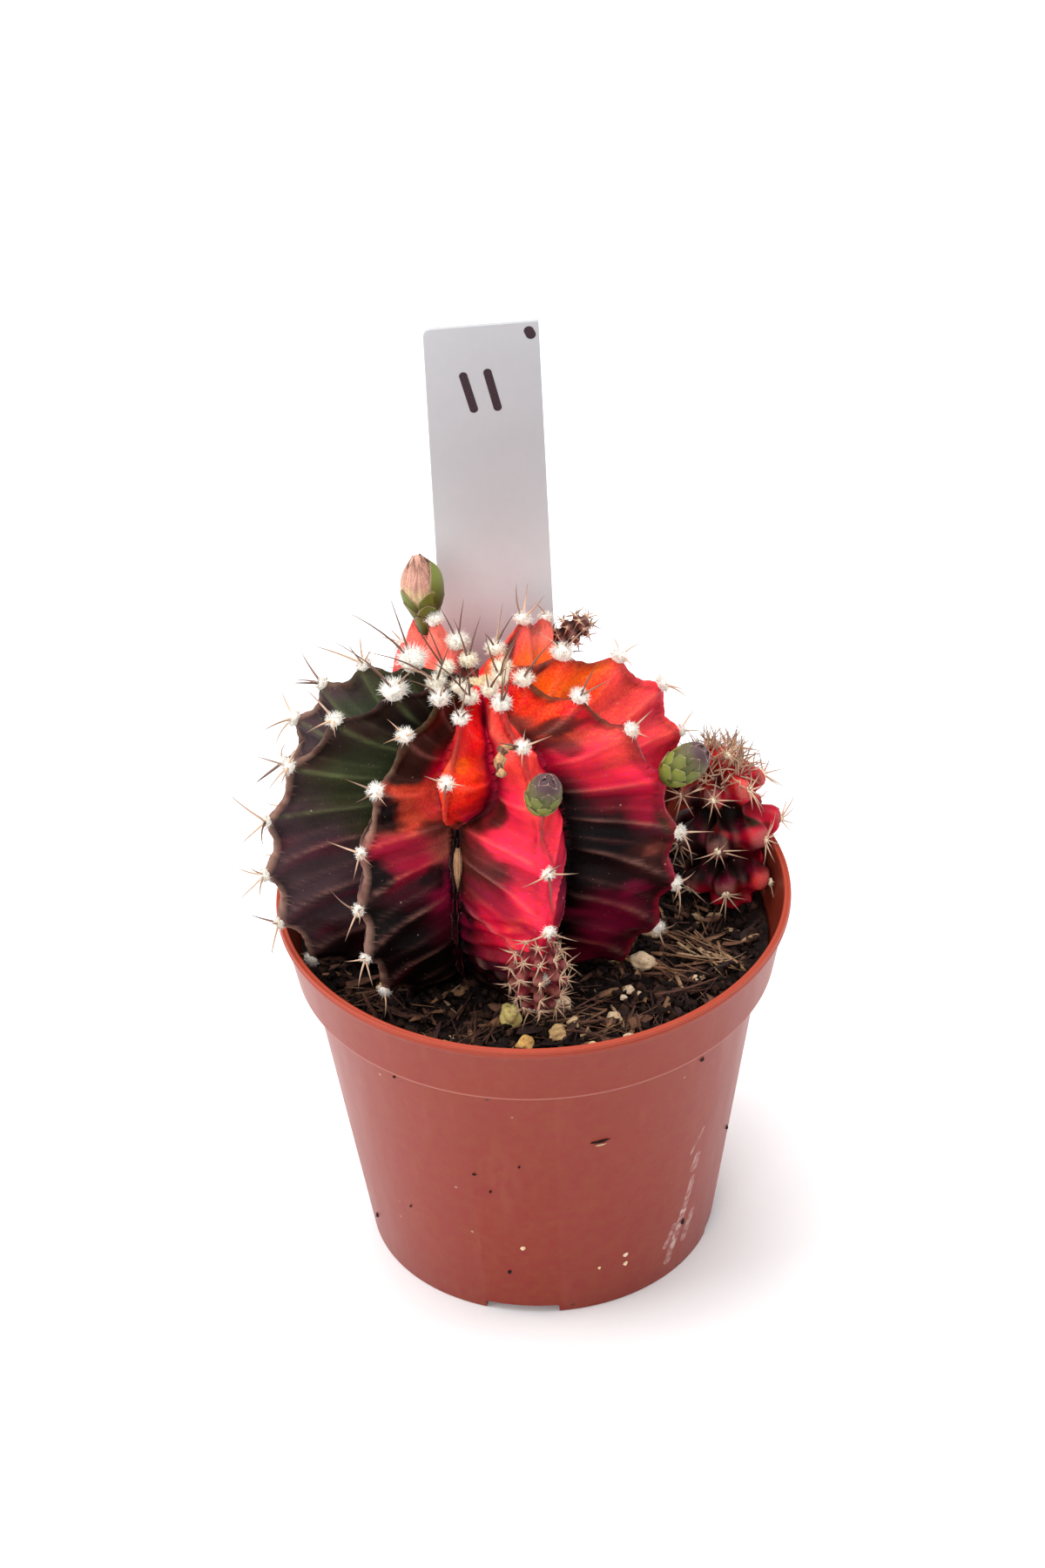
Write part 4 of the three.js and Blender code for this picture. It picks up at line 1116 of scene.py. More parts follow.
# Each flank from the crown down. A stop is a length in millimetres and the paints at the crest,
# half way and in the groove. A flank is named by its rib and its side, -1 for the clockwise one
# seen from above.
# The groove paints, darker than the crest in most stops, and the near-black paints low down are
# partly the skin's own colour and partly painted shade.
FLANKS = {
    (LEFT, 1): """
        8 bark bark soot, 19 bark soot soot, 24 bark bark moss, 33 bark olive moss,
        39 plum olive moss, 46 plum plum olive, 54 plum plum plum, 62 plum plum maroon,
        69 plum maroon night, 75 night night night""",
    (LEFT, -1): """
        7 umber bark bark, 24 bark olive olive, 40 plum soot soot, 58 plum maroon maroon,
        72 night night night""",
    (LEFT_FRONT, 1): """
        9 umber umber clay, 14 umber bark umber, 22 bark bark umber, 27 bark bark crimson,
        29.5 bark bark cherry, 31 rust rust rust, 36 umber rust coral, 39.5 clay rust umber,
        42 crimson crimson clay, 46 magenta crimson clay, 51 maroon wine magenta,
        56 soot night magenta, 62 night night wine, 68 night night night""",
    (LEFT_FRONT, -1): """
        10 umber bark bark, 30 soot olive olive, 46 plum soot soot, 62 maroon night night""",
    (SHORT, 1): """
        8 scarlet scarlet crimson, 16 scarlet scarlet crimson, 20 coral scarlet crimson,
        26 vermilion vermilion crimson, 32 ember ember crimson, 37 ember crimson wine,
        41 maroon night night""",
    (SHORT, -1): """
        8 scarlet coral cherry, 16 scarlet scarlet scarlet, 21 coral scarlet cherry,
        25 peach orange scarlet, 30 vermilion scarlet cherry, 37 ember crimson wine,
        41 maroon night night""",
    (FRONT, -1): """
        6 scarlet scarlet crimson, 14 coral peach crimson, 20 coral peach cherry,
        26 coral coral cherry, 32 coral rose crimson, 38 rose rose umber, 43 rose rose umber,
        47 rose wine umber, 51 rose crimson umber, 56 rose cherry maroon, 61 rose cherry night,
        66 cherry wine night, 71 maroon night night""",
    (FRONT, 1): """
        9 scarlet scarlet crimson, 18 coral coral scarlet, 30 coral coral cherry,
        42 rose rose crimson, 50 rose magenta wine, 56 cherry magenta maroon,
        64 crimson maroon maroon, 72 maroon night night""",
    (RIGHT_FRONT, -1): """
        5 scarlet scarlet scarlet, 14 vermilion vermilion clay, 19 scarlet vermilion clay,
        21.5 cherry umber umber, 24 coral rust umber, 28 coral rose crimson,
        31 coral rose crimson, 34 rose cherry wine, 37 cherry crimson night,
        42 crimson maroon night, 46 wine night night, 50 umber night night,
        57 maroon maroon night, 64 wine magenta night, 70 wine magenta night""",
    (RIGHT_FRONT, 1): """
        8 vermilion scarlet scarlet, 20 rust cherry cherry, 32 cherry cherry crimson,
        46 crimson crimson wine, 60 wine maroon maroon, 71 night night night""",
    (RIGHT, -1): """
        6 peach coral coral, 11 rust orange orange, 15 vermilion orange orange,
        21 orange orange orange, 26 coral vermilion vermilion, 31 coral coral coral,
        37 rose coral rose, 43 coral rose rose, 48 cherry cherry crimson, 56 clay crimson wine,
        66 maroon night night""",
    (RIGHT, 1): """
        7 orange orange vermilion, 26 vermilion scarlet scarlet, 46 rose cherry crimson,
        60 crimson wine wine, 72 maroon night night""",
    (BACK_RIGHT, -1): """
        7 orange orange orange, 15 coral orange vermilion, 26 peach orange vermilion,
        40 coral cherry cherry, 55 crimson wine wine, 70 maroon night night""",
    (BACK_RIGHT, 1): """
        7 vermilion scarlet scarlet, 25 coral coral cherry, 40 rose cherry crimson,
        56 wine wine maroon, 70 night night night""",
    (BACK_LEFT, -1): """
        6 clay umber umber, 12 peach coral umber, 22 peach peach coral, 34 coral coral cherry,
        50 crimson wine wine, 66 maroon night night""",
    (BACK_LEFT, 1): """
        6 clay umber umber, 12 peach coral coral, 24 peach peach coral, 35 coral cherry crimson,
        46 clay umber umber, 58 plum soot soot, 70 night night night""",
    (LEFT_BACK, -1): """
        8 umber umber umber, 18 olive moss moss, 30 plum olive olive, 46 plum plum soot,
        60 plum maroon maroon, 72 night night night""",
    (LEFT_BACK, 1): """
        8 bark bark bark, 18 olive moss moss, 28 plum moss moss, 40 plum plum olive,
        56 plum plum plum, 69 maroon night night""",
}

# Cloudy patches over the flanks: rib, across, length, half sizes of both, paint, strength.
PATCHES = [
    (LEFT_FRONT, 0.17, 36.2, 0.24, 3.6, "night", 1.0),
    (LEFT_FRONT, 0.68, 40, 0.16, 1.8, "umber", 0.9),
    (LEFT_FRONT, 0.14, 48, 0.17, 3.6, "night", 1.0),
    (LEFT_FRONT, 0.75, 50.5, 0.2, 2.6, "night", 0.9),
    (LEFT_FRONT, 0.4, 44, 0.3, 3.2, "crimson", 0.6),
    (SHORT, 0.25, 24, 0.22, 2.2, "orange", 0.8),
    (SHORT, -0.45, 25, 0.3, 1.6, "peach", 0.5),
    (SHORT, 0.0, 38.5, 0.35, 1.6, "umber", 0.9),
    (FRONT, -0.72, 37, 0.15, 3.2, "umber", 0.95),
    (FRONT, -0.68, 46, 0.22, 5.0, "umber", 0.8),
    (FRONT, -0.44, 47, 0.1, 4.0, "umber", 0.7),
    (FRONT, 0.02, 35, 0.05, 5.5, "clay", 0.9),
    (FRONT, -0.22, 55.5, 0.07, 2.5, "coral", 0.7),
    (RIGHT_FRONT, -0.5, 21, 0.36, 1.9, "umber", 0.9),
    (RIGHT_FRONT, -0.62, 26, 0.2, 2.6, "wine", 0.7),
    (RIGHT_FRONT, -0.2, 31, 0.18, 1.6, "coral", 0.6),
    (RIGHT_FRONT, -0.04, 45, 0.1, 2.4, "olive", 0.8),
    (RIGHT_FRONT, -0.12, 51, 0.1, 1.4, "clay", 0.5),
    (RIGHT_FRONT, -0.28, 58, 0.1, 2.2, "magenta", 0.9),
    (RIGHT_FRONT, -0.3, 67, 0.2, 3.0, "magenta", 0.9),
    (RIGHT, -0.05, 11, 0.12, 1.2, "umber", 0.7),
    (RIGHT, -0.5, 16, 0.2, 2.6, "orange", 0.8),
    (BACK_RIGHT, -0.22, 13, 0.16, 2.6, "umber", 0.8),
    (LEFT, 0.55, 30, 0.25, 6, "moss", 0.5),
]

# The woody edge of each crest: its paint near the crown, its paint low down, and its strength
# at both.
EDGES = {
    RIGHT: ("umber", "rose", 0.75, 0.25),
    BACK_RIGHT: ("umber", "rust", 0.8, 0.4),
    BACK_LEFT: ("clay", "rind", 0.6, 0.5),
    LEFT_BACK: ("olive", "rind", 0.7, 0.8),
    LEFT: ("bark", "rind", 0.8, 0.9),
    LEFT_FRONT: ("olive", "rind", 0.7, 0.75),
    SHORT: ("umber", "rust", 0.6, 0.4),
    FRONT: ("umber", "rose", 0.6, 0.2),
    RIGHT_FRONT: ("olive", "crimson", 0.85, 0.6),
}


def swept(across, length):
    """Length measured along the veins, which fall towards the grooves near the crown and rise
    towards them lower down."""
    side = np.abs(across)
    falling = 8 * side * (1 - smoothstep(16, 40, length))
    rising = 10 * smoothstep(30, 52, length) * (1 - np.exp(-side / 0.45))
    return length - falling + rising


def vein_mask(index, across, length):
    """A pale raised vein that leaves each areole, with a faint one between."""
    side = np.abs(across)
    turn = (swept(across, length) - FIRSTS[index]) / SPACINGS[index]
    apart = np.abs(turn - np.rint(turn)) * SPACINGS[index]
    between = np.abs(turn - np.floor(turn) - 0.62) * SPACINGS[index]
    lines = np.maximum(bell(apart, 0.5), 0.22 * bell(between, 0.4))
    shown = smoothstep(0.03, 0.12, side) * (1 - smoothstep(0.6, 1.0, side))
    return lines * shown * smoothstep(5, 13, length) * (1 - smoothstep(74, 84, length))


def chin_wave(index, across, length):
    """Each areole's chin, from 0 in the crease under it to 1 along its vein."""
    turn = (swept(across, length) - FIRSTS[index]) / SPACINGS[index]
    part = turn - np.floor(turn)
    crease = 0.4
    falling = 0.5 + 0.5 * np.cos(math.pi * part / crease)
    rising = 0.5 - 0.5 * np.cos(math.pi * (part - crease) / (1 - crease))
    return np.where(part < crease, falling, rising**0.8)


def stops_of(text):
    """Reads a flank's stops, each a length and three paints, with commas between them."""
    rows = [row.split() for row in text.split(",")]
    return [float(row[0]) for row in rows], [row[1:] for row in rows]


def flank_paint(index, across, length, points, palette):
    """The paint of every point of the skin, mixed from the tables above."""
    warp_long = 1.2 * ripple(points, 6.5) + 0.9 * ripple(points, 2.2, 9.0)
    warp_wide = 0.1 * ripple(points, 5.0, 21.0) + 0.05 * ripple(points, 1.6, 25.0)
    read = length + warp_long
    side = np.clip(np.abs(across) + warp_wide, 0, 1)
    colour = np.zeros((len(length), 3))
    for (number, hand), text in FLANKS.items():
        here = (index == number) & (across >= 0 if hand > 0 else across < 0)
        at, names = stops_of(text)
        bands = []
        for column in zip(*names):
            chosen = np.array([palette[name] for name in column])
            parts = [np.interp(read[here], at, chosen[:, part]) for part in range(3)]
            bands.append(np.stack(parts, axis=1))
        crest, middle, groove = bands
        # The groove paints carry painted shade of the grooves along with the skin's colour.
        inner = smoothstep(0.1, 0.42, side[here])[:, None]
        outer = smoothstep(0.5, 0.88, side[here])[:, None]
        colour[here] = mix(mix(crest, middle, inner), groove, outer)
    for number, home_across, home, wide, tall, paint, strength in PATCHES:
        gap = ((across + warp_wide - home_across) / wide) ** 2 + ((read - home) / tall) ** 2
        solid = 1 - smoothstep(0.35, 1.5, gap + 0.5 * ripple(points, 1.7, 41.0))
        share = np.where(index == number, strength * solid, 0)[:, None]
        colour = mix(colour, palette[paint], share)
    return colour


def skin_paint(index, across, length, points, palette):
    """The whole paint: flanks, thin streaks, veins and the woody edge of the crests, with painted
    light and shade on the chins and a painted shade line beside each crest.
    """
    colour = flank_paint(index, across, length, points, palette)
    bed = swept(across, length)
    streaks = np.stack([bed, np.abs(across) * 4.0, index * 7.0], axis=1)
    lift = 1 + 0.3 * ripple(streaks, 1.3) + 0.2 * ripple(points, 1.3, 4.0)
    # Painted light and shade: each chin's upper face is painted lighter and the crease under it
    # darker.
    lift = lift * (0.72 + 0.36 * chin_wave(index, across, length))
    colour = colour * lift[:, None]
    reddish = 0.5 + 0.5 * np.cos(np.radians(AZIMUTHS[index] - 285))
    low = smoothstep(45, 54, length) * (1 - smoothstep(70, 77, length)) * (0.25 + 0.6 * reddish)
    runs = np.stack([bed * 0.45, np.abs(across) * 2.2, index * 5.0], axis=1)
    low = low * smoothstep(0.12, 0.6, ripple(runs, 1.3, 2.0))
    low = low * np.where(index == LEFT_FRONT, 0.45, 1.0)
    colour = mix(colour, palette["magenta"], np.clip(low, 0, 1)[:, None])
    bright = smoothstep(0.05, 0.3, colour[:, 0])[:, None]
    veins = vein_mask(index, across, length)
    greenish = np.isin(index, (LEFT, LEFT_BACK)) & (length < 44)
    dark_vein = np.where(greenish[:, None], palette["sprout"], palette["sinew"])
    tint = mix(dark_vein, palette["peach"], bright)
    fading = mix(0.56, 0.38, bright[:, 0]) * (0.7 + 0.7 * ripple(points, 3.0, 31.0))
    colour = mix(colour, tint, (veins * fading)[:, None])
    gap = np.linalg.norm(points - skin_at(index, 0.0, length), axis=1)
    gap = gap + 0.35 * ripple(points, 1.1, 14.0)
    edge = (1 - smoothstep(0.4, 0.95, gap)) * smoothstep(3, 8, length)
    edge = edge * (1 - smoothstep(76, 84, length))
    # Painted shade: a darker line along both sides of the crest, at the foot of its raised cord.
    rim = bell(gap - 1.15, 0.4) * smoothstep(6, 14, length) * (1 - smoothstep(60, 72, length))
    colour = colour * (1 - 0.45 * rim)[:, None]
    worn = smoothstep(-0.1, 0.5, ripple(points, 1.4, 51.0))
    for number, (upper, lower, high, low) in EDGES.items():
        down = smoothstep(18, 40, length)
        paint = mix(palette[upper], palette[lower], down[:, None])
        paint = mix(paint, palette["umber"], (0.55 * worn)[:, None])
        share = np.where(index == number, edge * mix(high, low, down), 0)
        if RIBS[number].end:
            share = share * (1 - smoothstep(RIBS[number].end - 3, RIBS[number].end + 1, length))
        colour = mix(colour, paint, share[:, None])
    return np.clip(colour, 0, 1), veins


def skin_relief(index, across, length, points, sizes):
    """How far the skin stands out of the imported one, in millimetres."""
    side = np.abs(across)
    veins = vein_mask(index, across, length)
    gap = np.linalg.norm(points - skin_at(index, 0.0, length), axis=1)
    nicks = 0.75 + 0.6 * ripple(points, 1.1, 41.0)
    cord = (1 - smoothstep(0.45, 1.0, gap)) * smoothstep(3, 10, length) * np.clip(nicks, 0.1, 1.2)
    rolling = 0.16 * ripple(points, 4.5, 2.0) + 0.06 * ripple(points, 1.4, 5.0)
    chins = chin_wave(index, across, length) - 0.75
    shown = smoothstep(0.02, 0.12, side) * (1 - 0.75 * smoothstep(0.35, 0.95, side))
    chins = sizes.chin_height * chins * shown * smoothstep(12, 26, length)
    low_front = (index == FRONT) & (across < 0)
    wrinkle = np.sin((length - 5 * side) * TAU / 3.1) * bell(length - 66, 9)
    wrinkles = np.where(low_front, 0.55 * wrinkle * smoothstep(0.1, 0.35, side), 0)
    fold = -0.5 * bell(side - 1, 0.1) * smoothstep(12, 25, length)
    raised = sizes.vein_height * veins + sizes.cord_height * cord + chins
    raised = raised + rolling + wrinkles + fold
    return raised * (1 - smoothstep(80, 84, length))


# ---- The stage ----


class STAGE_OT_cactus(bpy.types.Operator):
    """Make the floor, the soft studio light and the camera"""

    bl_idname = "cactus.stage"
    bl_label = "Stage"

    def execute(self, context):
        self.floor(context)
        self.lights(context)
        self.camera(context)
        return {"FINISHED"}

    def floor(self, context):
        """A wide floor that curves up into a backdrop far behind the plant, in metres."""
        shape = bmesh.new()
        ends = [shape.verts.new((across, -2.5, 0)) for across in (-4, 4)]
        edges = [shape.edges.new(ends)]
        for y, z in [(6.0, 0.0), (6.8, 0.12), (7.3, 0.5), (7.5, 1.2), (7.5, 6.0)]:
            verts, edges = drawn_out(shape, edges)
            for vertex in verts:
                vertex.co.y = y
                vertex.co.z = z
        bmesh.ops.recalc_face_normals(shape, faces=shape.faces)
        mesh = bpy.data.meshes.new("floor")
        shape.to_mesh(mesh)
        shape.free()
        mesh.shade_smooth()
        mesh.materials.append(material("Pale paper"))
        made = bpy.data.objects.new("floor", mesh)
        context.collection.objects.link(made)
        made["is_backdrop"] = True

    # Each lamp: place and width in metres, power in watts and tone.
    lamps = {
        "top panel": ((-0.25, 0.25, 1.7), 1.6, 35, (1.0, 1.0, 1.0)),
        "window": ((-1.5, -0.2, 0.9), 1.2, 15, (1.0, 0.99, 0.98)),
        "right panel": ((1.5, 0.35, 0.7), 1.0, 10, (0.98, 0.99, 1.0)),
        "front panel": ((-0.5, -1.7, 1.1), 0.8, 11, (1.0, 1.0, 1.0)),
    }
    lamp_target = Vector((0, 0, 0.07))

    def lights(self, context):
        """A white room seen by the camera, which lights the plant only softly, and panels."""
        world = bpy.data.worlds.new("Soft room")
        world.use_nodes = True
        tree = Tree(world.node_tree)
        room = world.node_tree.nodes["Background"].inputs
        seen = tree.node("ShaderNodeLightPath").outputs["Is Camera Ray"]
        tree.give(room["Strength"], tree.between(seen, 0.0, 1.0, 0.5, 1.0))
        tree.give(room["Color"], (1.0, 1.0, 1.0))
        context.scene.world = world
        context.scene.view_settings.view_transform = "Standard"
        for name, (place, width, power, tone) in self.lamps.items():
            lamp = bpy.data.lights.new(name, "AREA")
            lamp.size = width
            lamp.energy = power
            lamp.color = tone
            made = bpy.data.objects.new(name, lamp)
            made.location = place
            aim = self.lamp_target - Vector(place)
            made.rotation_euler = aim.to_track_quat("-Z", "Y").to_euler()
            context.collection.objects.link(made)

    # The camera: place in metres, angles in degrees, lens and film height in millimetres.
    camera_place = (0, -0.91268, 0.76345)
    camera_pitch = 36.483
    camera_yaw = -0.0773
    camera_roll = -1.8414
    lens_length = 160
    film_height = 36

    def camera(self, context):
        """The photograph's long lens, which looks down on the plant and tilts a little."""
        pitch = math.radians(self.camera_pitch)
        yaw = math.radians(self.camera_yaw)
        roll = math.radians(self.camera_roll)
        flat = math.cos(pitch)
        ahead = Vector((math.sin(yaw) * flat, math.cos(yaw) * flat, -math.sin(pitch)))
        level = Vector((math.cos(yaw), -math.sin(yaw), 0))
        above = level.cross(ahead)
        right = math.cos(roll) * level + math.sin(roll) * above
        up = math.cos(roll) * above - math.sin(roll) * level
        turn = Matrix((right, up, -ahead)).transposed().to_4x4()
        lens = bpy.data.cameras.new("camera")
        lens.lens = self.lens_length
        lens.sensor_fit = "VERTICAL"
        lens.sensor_height = self.film_height
        lens.clip_start = 0.05
        made = bpy.data.objects.new("camera", lens)
        made.matrix_world = Matrix.Translation(self.camera_place) @ turn
        context.collection.objects.link(made)
        context.scene.camera = made


# ---- The pot ----


def rounded(outline, radius, steps=3):
    """An outline with each inner corner replaced by a short arc."""
    points = [Vector(point) for point in outline]
    made = [points[0]]
    for before, corner, after in zip(points, points[1:], points[2:]):
        back = before - corner
        ahead = after - corner
        reach = min(radius, back.length * 0.45, ahead.length * 0.45)
        start = corner + back.normalized() * reach
        end = corner + ahead.normalized() * reach
        for step in range(steps + 1):
            share = step / steps
            first = start.lerp(corner, share)
            made.append(first.lerp(corner.lerp(end, share), share))
    made.append(points[-1])
    return made


def spun(outline, steps):
    """A closed solid spun from an outline of (radius, height) that meets the axis twice."""
    shape = bmesh.new()
    line = [shape.verts.new((radius, 0, height)) for radius, height in outline]
    for first, second in zip(line, line[1:]):
        shape.edges.new((first, second))
    bmesh.ops.spin(
        shape,
        geom=shape.verts[:] + shape.edges[:],
        axis=(0, 0, 1),
        cent=(0, 0, 0),
        angle=TAU,
        steps=steps,
        use_merge=True,
    )
    bmesh.ops.remove_doubles(shape, verts=shape.verts, dist=0.001)
    bmesh.ops.recalc_face_normals(shape, faces=shape.faces)
    return shape


def cut_out(made, cutter_shape):
    """Cuts a bmesh in millimetres out of a finished piece."""
    mesh = bpy.data.meshes.new("cutter")
    cutter_shape.to_mesh(mesh)
    cutter_shape.free()
    mesh.transform(Matrix.Scale(MM, 4))
    cutter = bpy.data.objects.new("cutter", mesh)
    bpy.context.collection.objects.link(cutter)
    change = made.modifiers.new("cut", "BOOLEAN")
    change.operation = "DIFFERENCE"
    change.solver = "EXACT"
    change.object = cutter
    bpy.context.view_layer.update()
    seen = made.evaluated_get(bpy.context.evaluated_depsgraph_get())
    finished = bpy.data.meshes.new_from_object(seen)
    made.modifiers.clear()
    made.data = finished
    bpy.data.objects.remove(cutter)


def softened(shape, edges, width):
    """Bevels edges of a bmesh with a small round."""
    bmesh.ops.bevel(
        shape, geom=edges, offset=width, segments=2, affect="EDGES", profile=0.5, material=-1
    )


class POT_OT_cactus(bpy.types.Operator):
    """Make the thin-walled nursery pot with its lip, band, foot, notches and drain holes"""

    bl_idname = "cactus.pot"
    bl_label = "Pot"

    def outline(self):
        """Half of the pot's section, from the middle of the floor outside to inside."""
        foot_inner = POT.base_radius - POT.foot_width
        lip_low = POT.height - POT.lip_height
        # The outside of the lip: how far in from its radius, and how far down from its top.
        rim = [(0.05, 1.45), (0, 0.75), (0.13, 0.6), (0.03, 0.45), (0.1, 0)]
        rim += [(0.5, 0.02), (0.62, 0.13)]
        outer = [
            (POT.pad_radius, 0),
            (POT.pad_radius + 0.35, POT.foot_height),
            (foot_inner - 0.35, POT.foot_height),
            (foot_inner, 0),
            (POT.base_radius, 0),
            (POT.neck_radius, BAND_FOOT - 0.35),
            (POT.band_radius - 0.1, BAND_FOOT - 0.1),
            (POT.band_radius + 0.02, BAND_FOOT + 0.5),
            (POT.band_top_radius, lip_low - 0.3),
            *[(POT.rim_radius - inward, POT.height - down) for inward, down in rim],
            (POT.rim_radius - 0.74, POT.height - 0.02),
            (RIM_INNER + 0.05, POT.height),
            (RIM_INNER - 0.02, POT.height - 0.4),
            (BAND_INNER, BAND_FOOT + POT.ledge),
            (NECK_INNER, BAND_FOOT - POT.ledge),
            (BASE_INNER, FLOOR_TOP),
        ]
        return [(0, 0)] + [tuple(point) for point in rounded(outer, 0.3)] + [(0, FLOOR_TOP)]

    def notches(self):
        """Blocks that cut the notches of the foot, with softened edges."""
        shape = bmesh.new()
        size = Matrix.Diagonal((5.5, POT.notch_width, 2 * POT.foot_height, 1))
        place = Matrix.Translation((POT.base_radius - 0.5, 0, 0))
        for order in range(POT.notches):
            angle = math.radians(POT.notch_turn + 360 / POT.notches * order)
            turn = Matrix.Rotation(angle, 4, "Z")
            cut = bmesh.ops.create_cube(shape, size=1, matrix=turn @ place @ size)["verts"]
            edges = {edge for vertex in cut for edge in vertex.link_edges}
            level = [edge for edge in edges if abs(edge.verts[0].co.z - edge.verts[1].co.z) < 0.1]
            softened(shape, level, 0.35)
        return shape

    def drains(self):
        """Round bars that cut the drain holes of the floor."""
        shape = bmesh.new()
        for order in range(POT.drains):
            angle = TAU * (order + 0.5) / POT.drains
            spot = (POT.drain_circle * math.cos(angle), POT.drain_circle * math.sin(angle), 2)
            bmesh.ops.create_cone(
                shape,
                cap_ends=True,
                segments=32,
                radius1=POT.drain_radius,
                radius2=POT.drain_radius,
                depth=6,
                matrix=Matrix.Translation(spot),
            )
        return shape

    def execute(self, context):
        shape = spun(self.outline(), 192)
        made = piece("pot_shell", shape, "Satin terracotta plastic", "pot_plastic", "pot")
        cut_out(made, self.notches())
        cut_out(made, self.drains())
        made.data.set_sharp_from_angle(angle=math.radians(38))
        return {"FINISHED"}


# ---- The soil ----


class Ground:
    """Where loose pieces may lie on the soil: clear of the plant, the offsets and the pot."""

    def __init__(self):
        self.trees = []
        for name in ("cactus_body", "pup_right", "pup_front", "plant_label"):
            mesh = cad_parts[name].data
            points = [vertex.co / MM for vertex in mesh.vertices]
            faces = [face.vertices[:] for face in mesh.polygons]
            self.trees.append(BVHTree.FromPolygons(points, faces))

    def clear(self, point, room):
        downward = Vector((0.13, 0.07, -1)).normalized()
        for tree in self.trees:
            gap = tree.find_nearest(Vector(point))[3]
            if gap < room:
                return False
            normal = tree.ray_cast(Vector(point), downward)[1]
            if normal is not None and normal.dot(downward) > 0:
                return False
        return True

    def spots(self, random_one, count, reach, room, lift):
        """Places over the soil, spread evenly and clear of everything by a room."""
        found = []
        for _ in range(count):
            spread = reach * math.sqrt(random_one.random())
            angle = random_one.random() * TAU
            x, y = spread * math.cos(angle), spread * math.sin(angle)
            point = (x, y, float(soil_height(x, y)) + lift)
            if self.clear(point, room):
                found.append(point)
        return found


class SOIL_OT_cactus(bpy.types.Operator):
    """Make the soil with its crumbs, bark chips, fibres and mineral grains"""

    bl_idname = "cactus.soil"
    bl_label = "Soil"

    # Grains that show in the photograph: x, y, size across and tint.
    grains = [
        (17.6, -9.1, 4.3, 0.12),
        (-4.3, -22.6, 4.5, 0.95),
        (3.8, -19.5, 3.5, 0.05),
        (5.9, -23.8, 2.3, 0.3),
        (3.2, -26.8, 3.2, 0.5),
        (12.4, -22.3, 2.3, 0.2),
        (-2.1, -28.8, 3.0, 0.7),
        (-25.3, -13.2, 2.0, 0.6),
        (8.9, -30.5, 2.0, 0.4),
        (-14.5, -27.5, 1.7, 0.3),
        (26.5, -13.5, 1.6, 0.15),
        (14.8, -28.2, 1.8, 0.1),
        (15.2, -15.6, 1.9, 0.05),
        (16.9, -16.8, 1.4, 0.1),
        (14.2, -17.6, 1.2, 0.0),
    ]

    # Crumbs on the pot's wall: angle, height, length and height of each.
    dark_specks = [
        (-74.2, 40.8, 3.0, 0.5),
        (-43.8, 50.4, 0.9, 0.7),
        (-36.5, 53.3, 0.7, 0.6),
        (-129.5, 51.2, 0.6, 0.4),
        (-101.2, 9.9, 0.6, 0.8),
        (-109.0, 33.2, 0.7, 0.4),
        (-104.8, 29.5, 0.4, 0.6),
        (-96.2, 36.2, 0.4, 0.4),
        (-158.8, 7.2, 0.7, 1.1),
        (-133.5, 19.2, 0.4, 0.4),
        (-41.0, 11.5, 0.7, 1.2),
        (-17.2, 22.9, 0.6, 0.8),
    ]
    pale_specks = [
        (-64.0, 10.9, 0.9, 0.7),
        (-63.8, 8.7, 0.8, 0.8),
        (-96.5, 16.1, 0.8, 0.8),
        (-72.8, 9.5, 0.5, 0.5),
        (-74.0, 40.0, 1.8, 0.2),
    ]

    # Leaf scraps: x, y, heading in degrees, length, half width, bend and tint.
    scraps = [
        (17.0, -24.6, 22, 4.4, 1.1, 0.1, 0.62),
        (21.2, -20.6, 82, 3.6, 0.7, 0.3, 0.75),
        (25.0, -14.2, -38, 8.5, 0.6, 0.12, 0.35),
        (22.5, -11.5, -50, 7.0, 0.5, 0.1, 0.8),
        (33.0, -5.5, -18, 4.2, 0.9, 0.25, 0.6),
        (9.6, -26.8, 12, 5.6, 0.3, -0.25, 0.92),
        (11.5, -26.0, 40, 2.6, 0.2, 0.2, 0.9),
        (-0.8, -25.8, -12, 4.8, 1.7, 0.1, 0.12),
        (-12.5, -21.5, 40, 9.0, 0.16, 0.35, 0.1),
        (-16.5, -25.5, 70, 5.0, 0.7, 0.1, 0.3),
        (27.5, -9.0, -22, 9.0, 0.4, 0.06, 0.9),
        (29.0, -3.5, 10, 5.2, 0.5, 0.2, 0.7),
        (-28.0, -12.5, 12, 6.5, 0.8, 0.15, 0.55),
        (-21.0, -22.0, -30, 5.0, 0.6, 0.2, 0.35),
        (7.5, 34.0, 20, 6.0, 0.8, 0.2, 0.6),
        (-24.0, 24.0, 60, 6.0, 0.7, 0.2, 0.4),
    ]

    # Bundles of shreds: x, y, heading in degrees, spread, number of shreds and tint.
    bundles = [
        (27.5, -6.0, -28, 4.0, 32, 0.72),
        (30.5, -9.5, -52, 3.0, 18, 0.85),
        (22.0, -10.5, -40, 3.0, 13, 0.6),
        (25.0, -17.0, 20, 2.6, 11, 0.4),
        (20.0, -22.5, 62, 2.2, 8, 0.5),
        (-27.0, -14.5, 20, 3.0, 24, 0.5),
        (-23.0, -19.5, -35, 2.4, 14, 0.42),
        (-13.0, -28.0, 75, 2.6, 17, 0.35),
        (-9.0, -26.0, 60, 2.6, 14, 0.5),
        (6.5, -21.0, 20, 2.6, 17, 0.6),
        (9.0, -27.0, -10, 2.6, 10, 0.62),
        (14.0, -29.0, 15, 2.4, 10, 0.5),
        (30.0, 3.0, 80, 2.4, 8, 0.5),
        (-5.0, 33.5, 10, 3.0, 11, 0.5),
        (18.0, 30.0, -40, 3.0, 11, 0.55),
        (-24.0, 25.0, 45, 3.0, 10, 0.45),
        (33.0, 14.0, 75, 2.4, 7, 0.6),
    ]

